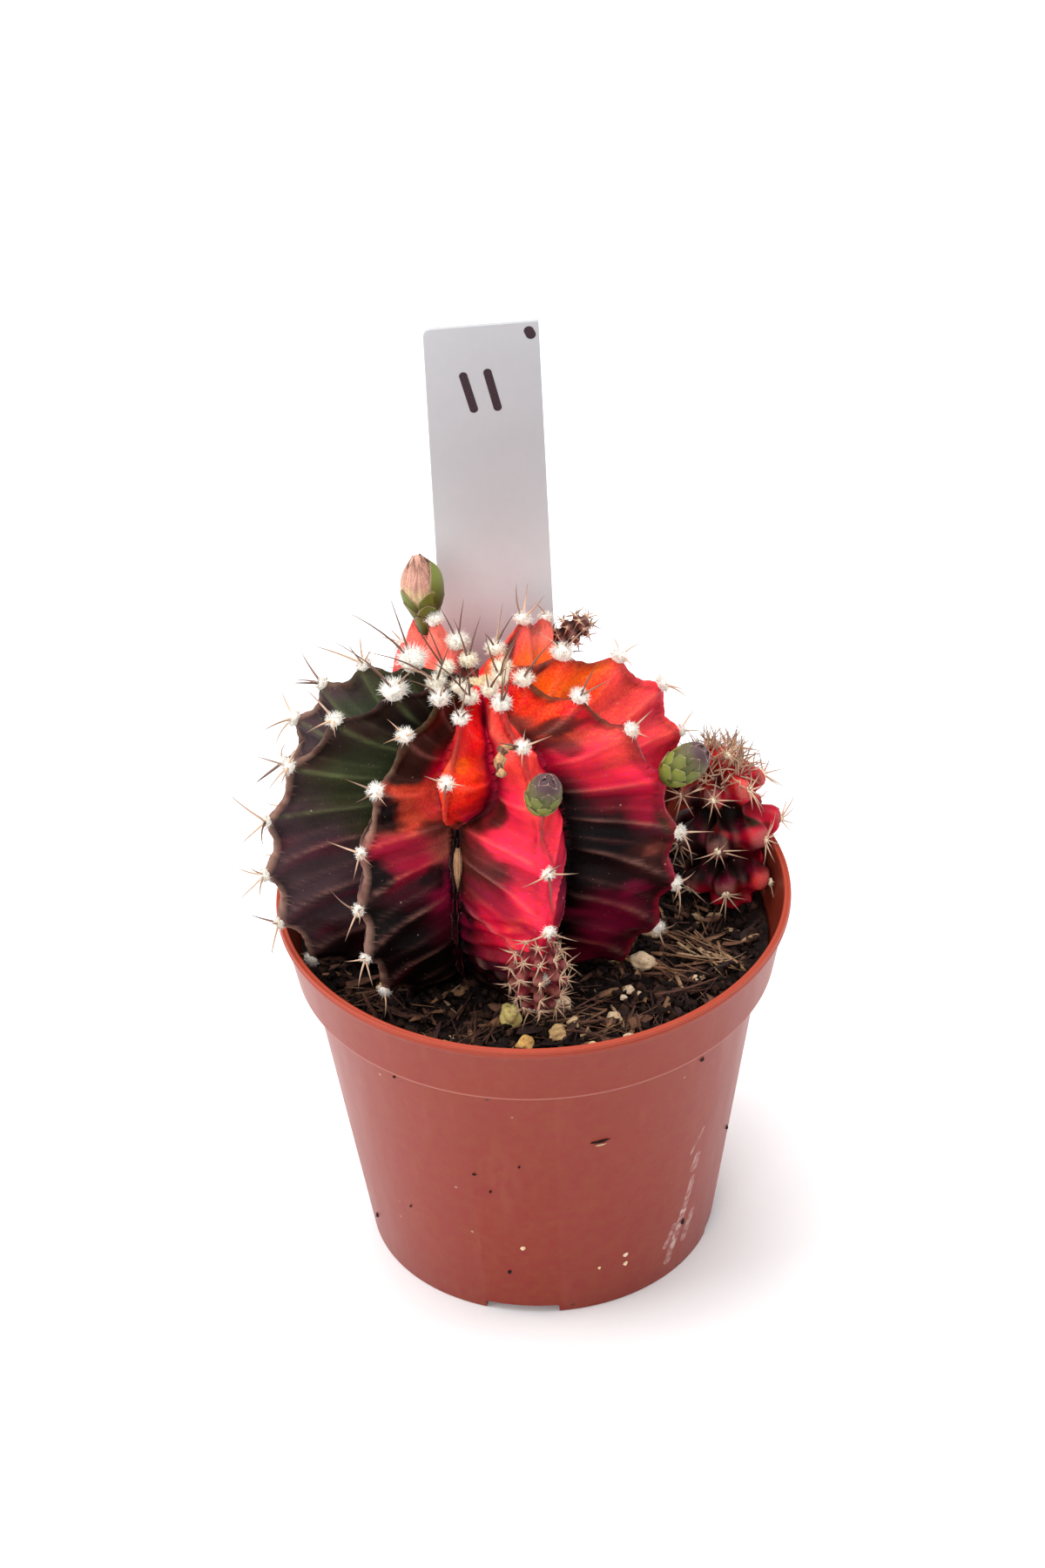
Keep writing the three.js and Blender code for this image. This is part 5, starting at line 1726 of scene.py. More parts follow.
    def bed(self):
        """The body of the soil, with a lumpy top that rises a little at the pot's wall."""
        rings = 62
        outline = [
            (0, FLOOR_TOP + 0.3),
            (BASE_INNER - 0.3, FLOOR_TOP + 0.3),
            (NECK_INNER - 0.4, BAND_FOOT - POT.ledge),
            (BAND_INNER - 0.5, BAND_FOOT + POT.ledge + 0.1),
        ]
        outline += [(SOIL_EDGE * (1 - ring / rings), SOIL_LEVEL) for ring in range(rings + 1)]
        shape = spun(outline, 220)
        top = [vertex for vertex in shape.verts if vertex.co.z > SOIL_LEVEL - 0.01]
        at = np.array([vertex.co[:] for vertex in top])
        lumps = 0.55 * ripple(at, 3.2, 3.0) + 0.4 * ripple(at, 1.3, 8.0) + 0.2 * ripple(at, 0.6)
        bank = 1.6 * smoothstep(34, SOIL_EDGE, np.hypot(at[:, 0], at[:, 1]))
        sunk = 0.25
        heights = soil_height(at[:, 0], at[:, 1]) + lumps + bank * 0.4 - sunk
        for vertex, height in zip(top, heights):
            vertex.co.z = height
        return shape

    def crumbs(self, spots, draw):
        """Crumbs of peat of all sizes."""
        spots = np.array(spots)
        count = len(spots)
        spans = 0.5 + 1.7 * draw.random(count) ** 2.2
        ups = unit(draw.normal(size=(count, 3)))
        aims = unit(draw.normal(size=(count, 3)))
        spots[:, 2] += 0.12 * spans
        places = facing(aims, ups, spots, spans)
        lumps = [lump(2, (1, 0.85, 0.75), 0.9, seed) for seed in (1, 7, 13)]
        return stamped(lumps, places, tints=draw.random(count), which=draw.integers(0, 3, count))

    def chips(self, spots, draw):
        """Bark chips from two flat splinters, moved inwards where they would reach the pot."""
        spots = np.array(spots)
        count = len(spots)
        aims = draw.normal(size=(count, 3)) * (1, 1, 0.22)
        wide = 0.6 + 1.3 * draw.random(count) ** 1.5
        long = 2.2 + 4.0 * draw.random(count) ** 1.6
        spans = np.stack([0.35 + 0.5 * draw.random(count), wide, long], axis=1)
        ups = unit(draw.normal(size=(count, 3)) * (0.35, 0.35, 1))
        reach = np.hypot(spots[:, 0], spots[:, 1])
        inward = np.minimum(1, (SOIL_EDGE - 0.6 * long) / np.maximum(reach, 1))
        spots[:, :2] *= inward[:, None]
        places = facing(aims, ups, spots, spans)
        splinters = [lump(2, (1, 1, 1), 0.8, 3), lump(2, (1, 0.8, 1.2), 1.1, 19)]
        tints = draw.random(count)
        return stamped(splinters, places, tints=tints, which=draw.integers(0, 2, count))

    def fibres(self, ground, chance, draw, loose):
        """Loose fibres all over, and bundles of straw-like shreds."""
        spots = ground.spots(chance, loose, SOIL_EDGE - 4, 0.7, 0.5)
        bundled = [None] * len(spots)
        for x, y, heading, spread, count, tint in self.bundles:
            turn = math.radians(heading)
            for _ in range(count):
                along = draw.normal(size=2) * spread * (1.0, 0.45)
                u = x + along[0] * math.cos(turn) - along[1] * math.sin(turn)
                v = y + along[0] * math.sin(turn) + along[1] * math.cos(turn)
                point = (u, v, float(soil_height(u, v)) + 0.5 + 0.9 * draw.random())
                if math.hypot(u, v) < SOIL_EDGE - 3 and ground.clear(point, 0.7):
                    spots.append(point)
                    bundled.append((turn + 0.3 * draw.normal(), tint))
        points = np.array(spots)
        headings = np.array([one[0] if one else draw.uniform(0, TAU) for one in bundled])
        tints = np.array([one[1] if one else 0.05 + 0.75 * draw.random() ** 1.6 for one in bundled])
        bundled = np.array([one is not None for one in bundled])
        count = len(points)
        tilt = 0.12 * draw.normal(size=count)
        aims = np.stack([np.cos(headings), np.sin(headings), tilt], axis=1)
        long = np.where(bundled, 5 + 8 * draw.random(count), 1.5 + 5 * draw.random(count) ** 2)
        reach = np.hypot(points[:, 0], points[:, 1])
        long = np.minimum(long, 1.2 * (SOIL_EDGE + 1.5 - reach))
        thick = 0.06 + 0.12 * draw.random(count) ** 2
        flat = thick * (1 + 2.2 * draw.random(count) ** 2)
        points -= unit(aims) * long[:, None] * 0.5
        ups = np.array([0, 0, 1.0]) + 0.3 * draw.normal(size=(count, 3))
        places = facing(aims, ups, points, np.stack([thick, flat, long], axis=1))
        bends = draw.normal(size=count) * np.where(bundled, 0.13, 0.09) * long / thick
        tints = np.clip(tints + 0.12 * draw.normal(size=count), 0, 1)
        return stamped([tapered(5, 6, 0.2)], places, bends, tints)

    def specks(self, found, draw):
        """Crumbs that stick to the outside of the pot."""
        spots = np.array([wall_point(angle, height, 0.05) for angle, height, _, _ in found])
        aims = [np.cross((x, y, 0), (0, 0, 1.0)) for x, y, _ in spots]
        spans = np.array([(0.45, tall, long) for _, _, long, tall in found])
        places = facing(np.array(aims), spots * (1, 1, 0), spots, spans)
        tints = 0.3 * draw.random(len(found))
        return stamped([lump(3, (1, 1, 1), 0.7, 5)], places, tints=tints)

    def litter(self, draw):
        """Dry leaf scraps and blades that lie curled on the soil."""
        thickness = 0.16
        spots, aims, spans, bends, tints = [], [], [], [], []
        for x, y, heading, long, wide, bend, tint in self.scraps:
            turn = math.radians(heading)
            way = np.array([math.cos(turn), math.sin(turn), 0.05])
            level = float(soil_height(x, y)) + 0.9
            spots.append(np.array([x, y, level]) - way * long / 2)
            aims.append(way)
            spans.append((thickness, wide, long))
            bends.append(bend * long / thickness)
            tints.append(tint)
        ups = np.array([0, 0, 1.0]) + 0.25 * draw.normal(size=(len(spots), 3))
        places = facing(np.array(aims), ups, np.array(spots), np.array(spans))
        return stamped([tapered(8, 10, 0.25)], places, bends, tints)

    def stones(self, draw):
        """The mineral grains that show in the photograph."""
        places, tints = [], []
        for x, y, size, tint in self.grains:
            up = unit(draw.normal(size=3) * (0.3, 0.3, 1))
            spot = np.array([x, y, float(soil_height(x, y)) + 0.28 * size])
            spans = np.array([[size * 0.75, size * 0.95, size]])
            aim = draw.normal(size=3) * (1, 1, 0.2)
            places.append(facing([aim], [up], [spot], spans)[0])
            tints.append(tint)
        rounds = [lump(4, (0.95, 1, 1), 0.36, seed) for seed in (2, 11, 23)]
        which = np.arange(len(places)) % 3
        return stamped(rounds, np.array(places), tints=tints, which=which)

    def execute(self, context):
        sizes = sizes_now()
        ground = Ground()
        chance = random.Random(5)
        draw = np.random.default_rng(5)

        def soil_piece(name, shape, material_name, *nodes):
            piece(name, shape, material_name, "soil", *nodes)

        soil_piece("soil_bed", self.bed(), "Damp peat", "soil")
        spots = ground.spots(chance, sizes.crumbs, SOIL_EDGE - 1.2, 0.5, 0.25)
        soil_piece("soil_crumbs", self.crumbs(spots, draw), "Damp peat")
        spots = ground.spots(chance, sizes.chips, SOIL_EDGE - 2.5, 1.4, 0.55)
        soil_piece("bark_chips", self.chips(spots, draw), "Shredded bark")
        mesh = self.fibres(ground, chance, draw, sizes.fibres)
        soil_piece("bark_fibres", mesh, "Shredded bark")
        soil_piece("dark_specks", self.specks(self.dark_specks, draw), "Damp peat")
        soil_piece("pale_specks", self.specks(self.pale_specks, draw), "Mineral grit")
        soil_piece("leaf_scraps", self.litter(draw), "Shredded bark")
        soil_piece("grit_grains", self.stones(draw), "Mineral grit")
        return {"FINISHED"}


# ---- The cactus ----


class SKIN_OT_cactus(bpy.types.Operator):
    """Make the ribbed body of the cactus, with its veins, chins and paint"""

    bl_idname = "cactus.skin"
    bl_label = "Body"

    # Columns of the grid for each rib, its rows, and those of them below the soil.
    per_rib = 30
    rows = 236
    buried = 8

    def execute(self, context):
        sizes = sizes_now()
        even = self.rows - self.buried
        centre = np.array(BODY.centre)
        kept = []

        def place(column, row):
            index = (column // self.per_rib).astype(int)
            # The first column of a rib lies in the groove before it.
            turn = 2 * (column % self.per_rib) / self.per_rib - 1
            across = np.sign(turn) * np.abs(turn) ** 1.25
            shallow = BODY.soil_length * row / even
            deep = mix(BODY.soil_length, CREST_END, (row - even) / self.buried)
            length = np.where(row <= even, shallow, deep)
            points = skin_at(index, across, length)

            def surface(first, second):
                return skin_at(index, first, second)

            normals = normals_at(surface, across, length, 0.02, 0.25, centre)
            normals[(row == 0) | (row == self.rows)] = 0
            raised = skin_relief(index, across, length, points, sizes)
            kept.extend([index, across, length, points])
            return points + normals * raised[:, None]

        shape = shaped_ball(len(RIBS) * self.per_rib, self.rows, place)
        painted(shape, *skin_paint(*kept, paints()))
        piece("cactus_skin", shape, "Waxy skin", "cactus_skin", "cactus_body")
        return {"FINISHED"}


def wool_tufts(tufts, hairs, seed):
    """Wool over many areoles. A tuft is its centre, normal, radius, height share and tint."""
    draw = np.random.default_rng(seed)
    spots, aims, ups, spans, bends, tints = [], [], [], [], [], []
    for centre, normal, radius, tall, tint in tufts:
        count = max(20, int(hairs * min(1.4, radius / 1.4)))
        ways = unit(draw.normal(size=(count * 3, 3)))
        ways = ways[ways @ normal > -0.15][:count]
        count = len(ways)
        rise = ways @ normal
        dome = ways - np.outer(rise, normal) * (1 - tall)
        spots.append(centre + dome * radius * 0.8)
        swirl = unit(draw.normal(size=(count, 3)))
        aims.append(unit(ways + 0.9 * swirl + 0.25 * normal))
        ups.append(swirl)
        long = radius * (0.34 + 0.42 * draw.random(count))
        thick = 0.03 + 0.025 * draw.random(count)
        spans.append(np.stack([thick, thick, long], axis=1))
        bends.append(draw.normal(size=count) * 4)
        tints.append(np.clip(tint + 0.15 * draw.normal(size=count), 0, 1))
    places = facing(
        np.concatenate(aims), np.concatenate(ups), np.concatenate(spots), np.concatenate(spans)
    )
    hair = tapered(3, 3, 0.1)
    return stamped([hair], places, np.concatenate(bends), np.concatenate(tints))


def wool_cores(tufts, seed):
    """The felted cushions under the loose hairs of the tufts."""
    places, tints = [], []
    draw = np.random.default_rng(seed)
    for centre, normal, radius, tall, tint in tufts:
        up = draw.normal(size=3)
        span = 2 * radius * 0.84
        sizes = np.array([[span, span, span * tall]])
        places.append(facing([normal], [up], [centre], sizes)[0])
        tints.append(tint)
    cushions = [lump(3, (1, 1, 1), 0.22, seed) for seed in (4, 9)]
    which = np.arange(len(places)) % 2
    return stamped(cushions, np.array(places), tints=tints, which=which)


def spine_set(spines, thickness):
    """Spines as one mesh. A spine is its foot, direction, bend, length and tint."""
    feet = np.array([one[0] for one in spines])
    aims = np.array([one[1] for one in spines])
    ups = np.array([one[2] for one in spines])
    lengths = np.array([one[3] for one in spines])
    thick = thickness * (0.65 + 0.35 * np.minimum(lengths / 6, 1.2))
    spans = np.stack([thick, thick, lengths], axis=1)
    places = facing(aims, ups, feet, spans)
    bends = np.array([one[4] for one in spines]) * lengths / thick
    tints = [one[5] for one in spines]
    return stamped([tapered(6, 6)], places, bends=bends, tints=tints)


def tuft_of(areole, draw, wool_radius):
    """The wool of one of the body's areoles."""
    young = 1 - smoothstep(10, 26, areole.length)
    size = wool_radius * mix(0.85, 1.0, float(young)) * (0.9 + 0.22 * draw.random())
    if areole.rib == SHORT:
        size *= 0.85
    if areole.rib in (LEFT, LEFT_BACK) and 9 < areole.length < 16:
        size *= 1.45
    if areole.length > 42:
        size *= 0.8
    tall = mix(0.75, 0.9, float(young))
    tint = float(np.clip(0.85 - areole.length / 13, 0.04, 1))
    seat = areole.at + areole.out * 0.25 * size
    return (seat, areole.out, size, tall, tint)


def spines_of(areole, draw):
    """The spines of one of the body's areoles: pale and spread low down, dark near the crown."""
    spines = []
    young = float(1 - smoothstep(8, 24, areole.length))
    turns = [0, 82, -82, 150][: 4 if draw.random() < 0.35 else 3]
    if young > 0.6:
        turns = [35, -35, 150] if draw.random() < 0.5 else [20, -50]
    for turn in turns:
        angle = math.radians(turn + draw.normal() * 15)
        lift = 0.55 + 0.5 * draw.random() + 1.6 * young
        sideways = areole.down * math.cos(angle) + areole.side * math.sin(angle)
        aim = unit(areole.out * lift + sideways)
        length = (3.6 + 2.4 * draw.random()) * mix(1, 1.75, young)
        if abs(turn) > 100:
            length *= 0.8
        if areole.rib in (LEFT, LEFT_BACK):
            length *= 1.45
        tint = float(np.clip(0.5 + 0.3 * draw.normal() + 0.6 * young, 0, 1))
        bend = 0.2 * draw.normal() - 0.14
        spines.append((areole.at + areole.out * 0.5, aim, areole.out, length, bend, tint))
    return spines


class Room:
    """Space that other pieces fill, which spines keep out of."""

    def __init__(self):
        self.balls = []
        self.keep(FRONT_SEAT.at + FRONT_AIM * BUD.height / 2, BUD.height * 0.5)
        self.keep(RIGHT_SEAT.at + RIGHT_AIM * BUD_RIGHT.height / 2, BUD_RIGHT.height * 0.5)
        self.keep(SPENT_SEAT + SPENT_AIM * SPENT.height / 2, SPENT.height * 0.45)
        self.keep(BACK_SEAT + BACK_AIM * PUP_BACK.height / 2, PUP_BACK.height * 0.55)
        for share in (0.25, 0.5, 0.75):
            spot = moved(RIGHT_PLACE, [(0, 0, PUP_RIGHT.height * share)])[0]
            self.keep(spot, PUP_RIGHT.width / 2 + 0.4)
        spot = moved(FRONT_PLACE, [(0, 0, PUP_FRONT.height / 2)])[0]
        self.keep(spot, PUP_FRONT.height / 2 - 0.5)

    def keep(self, centre, radius):
        self.balls.append((np.array(centre), radius))

    def free(self, spine):
        foot, aim, _, length = spine[:4]
        for share in (0.5, 0.75, 1.0):
            point = foot + aim * length * share
            radius = math.hypot(point[0], point[1])
            if point[2] < SOIL_LEVEL + 1.2:
                return False
            if point[2] < POT.height + 0.8 and radius > RIM_INNER - 1:
                return False
            if point[1] > LABEL.tip.y - 1 and abs(point[0] + 5) < LABEL.width / 2 + 2:
                return False
            for centre, reach in self.balls:
                if np.linalg.norm(point - centre) < reach:
                    return False
        return True


class WOOL_OT_cactus(bpy.types.Operator):
    """Make the wool tufts and spines of the cactus's areoles"""

    bl_idname = "cactus.wool"
    bl_label = "Wool and spines"

    def execute(self, context):
        sizes = sizes_now()
        draw = np.random.default_rng(17)
        room = Room()
        tufts, spines = [], []
        for index, one in enumerate(RIBS):
            for areole in areoles_of(index):
                if areole.order in one.bare:
                    continue
                tufts.append(tuft_of(areole, draw, sizes.wool_radius))
                spines += [each for each in spines_of(areole, draw) if room.free(each)]
        # The young felt of the crown runs on between the first areoles.
        for index in (LEFT_FRONT, SHORT, FRONT, RIGHT_FRONT):
            length = 0.8 + 2.2 * draw.random()
            at = skin_at(index, draw.uniform(-0.5, 0.5), length)[0]
            up = unit(np.array([0.1, -0.1, 1.0]))
            tufts.append((at, up, 0.85 + 0.3 * draw.random(), 0.7, 1.0))
        piece("wool_cushions", wool_cores(tufts, 3), "Matted wool", "wool")
        piece("wool_hairs", wool_tufts(tufts, sizes.wool_hairs, 23), "Matted wool", "wool")
        mesh = spine_set(spines, sizes.spine_thickness)
        piece("body_spines", mesh, "Horny spine", "spine")
        return {"FINISHED"}


# ---- The offsets ----


def offset_areoles(offset_sizes, place):
    """The areoles of an offset, with their directions."""
    centre = moved(place, [(0, 0, offset_sizes.height / 2)])[0]
    found = []
    for tier in range(offset_sizes.tiers):
        from_top = (tier + 0.5) / (offset_sizes.tiers + 1)
        for number in range(offset_sizes.ribs):
            if tier == 0 and number % 2 == 1:
                continue
            around = number / offset_sizes.ribs
            at, below, beside = offset_at(
                offset_sizes,
                place,
                np.array([around, around, around + 0.5 / offset_sizes.ribs]),
                np.array([from_top, from_top + 0.04, from_top]),
            )
            down = unit(below - at)
            out = unit(np.cross(down, unit(beside - at)))
            if np.dot(out, at - centre) < 0:
                out = -out
            side = unit(np.cross(out, down))
            if at[2] > SOIL_LEVEL + 1.5:
                found.append(SimpleNamespace(at=at, out=out, down=down, side=side))
    return found


class OFFSETS_OT_cactus(bpy.types.Operator):
    """Make the three spiny offsets"""

    bl_idname = "cactus.offsets"
    bl_label = "Offsets"

    def paint_right(self, around, from_top, points, palette):
        """The right offset: nearly black at the front and left, red at the right and below; the dark
        and the red round it are partly its own colour and partly painted light and shade.
        """
        # Painted light and shade: the side facing away from the body is painted red as lit, the side
        # facing it nearly black.
        lit = np.cos(around * TAU + 0.25) + 0.7 * ripple(points, 4.0, 3.0)
        share = smoothstep(0.4, 0.9, lit)[:, None]
        colour = mix(palette["maroon"], palette["cherry"], share)
        streaks = smoothstep(0.0, 0.45, ripple(points, 2.4, 11.0))[:, None]
        colour = mix(colour, palette["magenta"], 0.75 * streaks * (1 - share))
        stains = smoothstep(0.15, 0.5, ripple(points, 2.0, 29.0))[:, None]
        colour = mix(colour, palette["olive"], 0.6 * stains * (1 - share))
        colour = mix(colour, palette["umber"], 0.7 * stains * share)
        top = 1 - smoothstep(0.1, 0.4, from_top + 0.2 * ripple(points, 2.5))
        colour = mix(colour, palette["ember"], 0.6 * top[:, None])
        low = smoothstep(0.66, 0.76, from_top) * (0.7 + 0.9 * ripple(points, 3.0, 17.0))
        colour = mix(colour, palette["cherry"], np.clip(low, 0, 0.95)[:, None])
        # Pale coral patches, kept to the lit side, add to the painted light.
        pale = smoothstep(0.1, 0.5, ripple(points, 3.0, 23.0))[:, None] * share
        return mix(colour, palette["coral"], 0.7 * pale)

    def paint_front(self, around, from_top, points, palette):
        """The front offset: dusky pink tubercles over dark red creases."""
        share = smoothstep(-0.5, 0.6, ripple(points, 2.0, 5.0))[:, None]
        colour = mix(palette["crimson"], palette["clay"], share)
        return mix(colour, palette["plum"], 0.35)

    def paint_back(self, around, from_top, points, palette):
        """The back offset: brownish purple."""
        share = smoothstep(-0.5, 0.6, ripple(points, 1.5, 8.0))[:, None]
        colour = mix(palette["umber"], palette["sinew"], 0.25 + 0.6 * share)
        return mix(colour, palette["plum"], 0.15)

    def skin(self, name, node, given, place, painter, columns, rows):
        """The skin of one offset: knobs at its areoles, creases between, and its painter's paint,
        with painted light on the knobs and painted shade on the shelves between tiers.
        """
        size = given.width / PUP_RIGHT.width
        centre = moved(place, [(0, 0, given.height / 2)])[0]
        kept = SimpleNamespace()

        def surface(around, from_top):
            return offset_at(given, place, around, from_top)

        def shape_point(column, row):
            around = column / columns
            from_top = row / rows
            points = surface(around, from_top)
            safe = np.clip(from_top, 0.01, 0.99)
            normals = normals_at(surface, around, safe, 0.004, 0.008, centre)
            normals[(row == 0) | (row == rows)] = 0
            fade = np.sin(from_top * math.pi)
            ribbing = 0.5 + 0.5 * np.cos(around * given.ribs * TAU)
            tiers = 0.5 - 0.5 * np.cos(from_top * (given.tiers + 1) * TAU)
            knob = (ribbing * tiers) ** 1.3 * fade
            crease = (1 - ribbing) ** 3 * fade
            shelf = (1 - tiers) ** 2.5 * fade
            raised = size * (1.1 * knob - 0.7 * crease - 1.5 * shelf)
            raised = raised + 0.12 * ripple(points, 1.6, 2.0)
            raised = raised + 0.3 * size * ripple(points, 3.1, 6.0)
            veins = bell((around * given.ribs * 3) % 1 - 0.5, 0.16) * tiers * fade
            raised = raised + 0.12 * size * veins
            vars(kept).update(around=around, from_top=from_top, points=points)
            vars(kept).update(knob=knob, shelf=shelf, veins=veins)
            return clear_of_rim(points + normals * raised[:, None])

        shape = shaped_ball(columns, rows, shape_point)
        palette = paints()
        colours = painter(kept.around, kept.from_top, kept.points, palette)
        # Painted light and shade: knobs are painted lighter, the shelves between tiers darker.
        lift = 1 + 0.3 * ripple(kept.points, 1.2, 6.0) + 0.25 * (kept.knob - 0.3)
        lift = lift * (1 - 0.75 * kept.shelf)
        colours = colours * lift[:, None]
        share = (0.35 * kept.veins)[:, None]
        colours = mix(colours, mix(colours, palette["sinew"], 0.8), share)
        seats = np.array([areole.at for areole in offset_areoles(given, place)])
        gaps = np.linalg.norm(kept.points[:, None] - seats, axis=2).min(axis=1)
        reach = 1.7 * given.width / PUP_RIGHT.width
        ring = 1 - smoothstep(0.35 * reach, reach, gaps + 0.4 * ripple(kept.points, 1.3))
        colours = mix(colours, palette["sinew"], (0.5 * ring)[:, None])
        painted(shape, np.clip(colours, 0, 1), 0.5 * kept.veins)
        piece(name, shape, "Waxy skin", "pup_skin", node)

    def dress(self, name, given, place, seed, tint):
        """Wool on an offset's areoles; gives back their star-shaped spines."""
        draw = np.random.default_rng(seed)
        shortened = 0.66 if given is PUP_BACK else 1.0
        tufts, spines = [], []
        for areole in offset_areoles(given, place):
            lift = 0.35 * given.wool
            seat = areole.at + areole.out * (lift + 0.5 * given.width / PUP_RIGHT.width)
            radius = given.wool * (0.9 + 0.25 * draw.random())
            tufts.append((seat, areole.out, radius, 0.7, 0.75))
            for number in range(given.spines):
                angle = TAU * (number + 0.5 * draw.random()) / given.spines
                sideways = areole.down * math.cos(angle) + areole.side * math.sin(angle)
                aim = unit(areole.out * (0.3 + 0.6 * draw.random()) + sideways)
                length = given.spine * (0.6 + 0.6 * draw.random()) * shortened
                shade = float(np.clip(tint + 0.2 * draw.normal(), 0, 1))
                bend = 0.12 * draw.normal() - 0.14
                tip = seat + aim * length
                low = tip[2] < SOIL_LEVEL + 0.8
                wall = tip[2] < POT.height + 0.8 and math.hypot(tip[0], tip[1]) > RIM_INNER - 0.6
                if not low and not wall:
                    spines.append((seat, aim, areole.out, length, bend, shade))
        piece(name + "_cushions", wool_cores(tufts, seed), "Matted wool", "wool")
        piece(name + "_wool", wool_tufts(tufts, 34, seed + 1), "Matted wool", "wool")
        return spines

    def crown_brush(self, draw):
        """The dry, tangled spines and shreds that crowd the top of the right offset."""
        centre = moved(RIGHT_PLACE, [(0, 0, PUP_RIGHT.height * 0.62)])[0]
        spines = []
        for _ in range(240):
            around = draw.random()
            from_top = 0.27 * math.sqrt(draw.random())
            at = offset_at(PUP_RIGHT, RIGHT_PLACE, around, from_top)[0]
            aim = unit(unit(at - centre) + 0.6 * draw.normal(size=3))
            length = 2.2 + 3.4 * draw.random()
            tint = 0.2 + 0.6 * draw.random()
            spines.append((at, aim, draw.normal(size=3), length, 0.35 * draw.normal(), tint))
        return spines

    def execute(self, context):
        # Each skin: its name, node, sizes, place and painter, and the grid's columns and rows.
        self.skin("right_offset", "pup_right", PUP_RIGHT, RIGHT_PLACE, self.paint_right, 140, 110)
        self.skin("front_offset", "pup_front", PUP_FRONT, FRONT_PLACE, self.paint_front, 120, 90)
        self.skin("back_offset", "pup_back", PUP_BACK, BACK_PLACE, self.paint_back, 90, 64)
        spines = self.dress("right_offset", PUP_RIGHT, RIGHT_PLACE, seed=41, tint=0.3)
        spines += self.crown_brush(np.random.default_rng(31))
        spines += self.dress("front_offset", PUP_FRONT, FRONT_PLACE, seed=43, tint=0.3)
        spines += self.dress("back_offset", PUP_BACK, BACK_PLACE, seed=47, tint=0.6)
        mesh = spine_set(spines, sizes_now().spine_thickness * 0.85)
        piece("offset_spines", mesh, "Horny spine", "spine")
        return {"FINISHED"}


# ---- Buds, dry petals and the label ----


def bud_profile(width, share):
    """Radius of a closed bud at a share of its height."""
    polar = np.arccos(np.clip(2 * np.asarray(share, float) - 1, -1, 1))
    return width / 2 * np.sin(polar) ** 0.8


def scale_shape():
    shape = bmesh.new()
    for name in ("along", "side", "tint"):
        shape.verts.layers.float.new(name)
    return shape


def mark(shape, vertex, along, side, tint):
    """Stores the numbers by which the materials of scales and petals colour a vertex."""
    layers = shape.verts.layers.float
    vertex[layers["along"]] = along
    vertex[layers["side"]] = side
    vertex[layers["tint"]] = tint


def add_scale(shape, profile, angle, foot, tip, half_turn, lift, curl, tint):
    """Adds one scale that lies on a round profile, to be given a thickness later.

    It runs from a foot to a tip height, spans half_turn to both sides, stands off by lift and
    curls outwards or inwards at its tip."""
    made = bmesh.ops.create_grid(shape, x_segments=8, y_segments=9, size=1)["verts"]
    for vertex in made:
        across, share = vertex.co.x, (vertex.co.y + 1) / 2
        wide = max(0.02, (1 - share**2.6) ** 0.7) * (0.82 + 0.18 * math.sin(math.pi * share))
        turn = angle + across * half_turn * wide
        height = foot + (tip - foot) * share - 0.06 * (tip - foot) * abs(across) * share
        stand = lift * (0.25 + share) + curl * share**3
        cup = 0.22 * (1 - across**2) * (1 - share)
        radius = float(profile(height)) + stand + cup
        vertex.co = (radius * math.cos(turn), radius * math.sin(turn), height)
        mark(shape, vertex, share, abs(across), tint)


def thickened(shape, thickness):
    """Gives every scale of a shape its thickness."""
    bmesh.ops.recalc_face_normals(shape, faces=shape.faces)
    bmesh.ops.solidify(shape, geom=shape.faces[:], thickness=-thickness)
    bmesh.ops.recalc_face_normals(shape, faces=shape.faces)


def add_core(shape, profile, height, tint):
    """A closed round core under the scales."""
    made = bmesh.ops.create_uvsphere(shape, u_segments=24, v_segments=16, radius=1)["verts"]
    for vertex in made:
        share = (vertex.co.z + 1) / 2
        level = height * (0.02 + 0.94 * share)
        flat = vertex.co.xy
        radius = max(0.0, float(profile(level))) * 0.94
        if flat.length > 1e-5:
            flat = flat.normalized() * radius
        vertex.co = (flat.x, flat.y, level)
        mark(shape, vertex, 0.8 * share, 0.0, tint)


def scaly_bud(name, node, given, seat, aim, twist):
    """A closed bud of overlapping scales in staggered tiers."""
    tiers = 5

    def profile(level):
        share = np.clip(level / given.height, 0.01, 0.99)
        return bud_profile(given.width, share) * 0.81

    shape = scale_shape()
    for tier in range(tiers):
        share = tier / (tiers - 1)
        last = tier == tiers - 1
        foot = given.height * 0.66 * share
        tip = given.height if last else min(given.height * 0.97, foot + given.height * 0.4)
        count = 3 if last else 5
        half_turn = TAU / count * (0.95 if last else 0.6)
        lift = 0.22 - 0.12 * share
        curl = -0.25 if last else 0.16 - 0.2 * share
        for number in range(count):
            angle = TAU * (number + 0.5 * (tier % 2)) / count + twist
            add_scale(shape, profile, angle, foot, tip, half_turn, lift, curl, share)
    thickened(shape, 0.14)
    add_core(shape, profile, given.height, 1.0)
    place = standing(Vector(seat), aim)
    bmesh.ops.transform(shape, matrix=place, verts=shape.verts)
    piece(name, shape, "Bud scale", "bud", node)


def curve_through(points, steps):
    """A smooth path through points, with a number of steps between each two."""
    points = [points[0], *points, points[-1] + (points[-1] - points[-2])]
    path = []
    for one, two, three, four in zip(points, points[1:], points[2:], points[3:]):
        for step in range(steps):
            share = step / steps
            slope = (three - one) * share
            bend = (2 * one - 5 * two + 4 * three - four) * share**2
            twist = (3 * two - one - 3 * three + four) * share**3
            path.append(0.5 * (2 * two + slope + bend + twist))
    return np.array([*path, points[-2]])


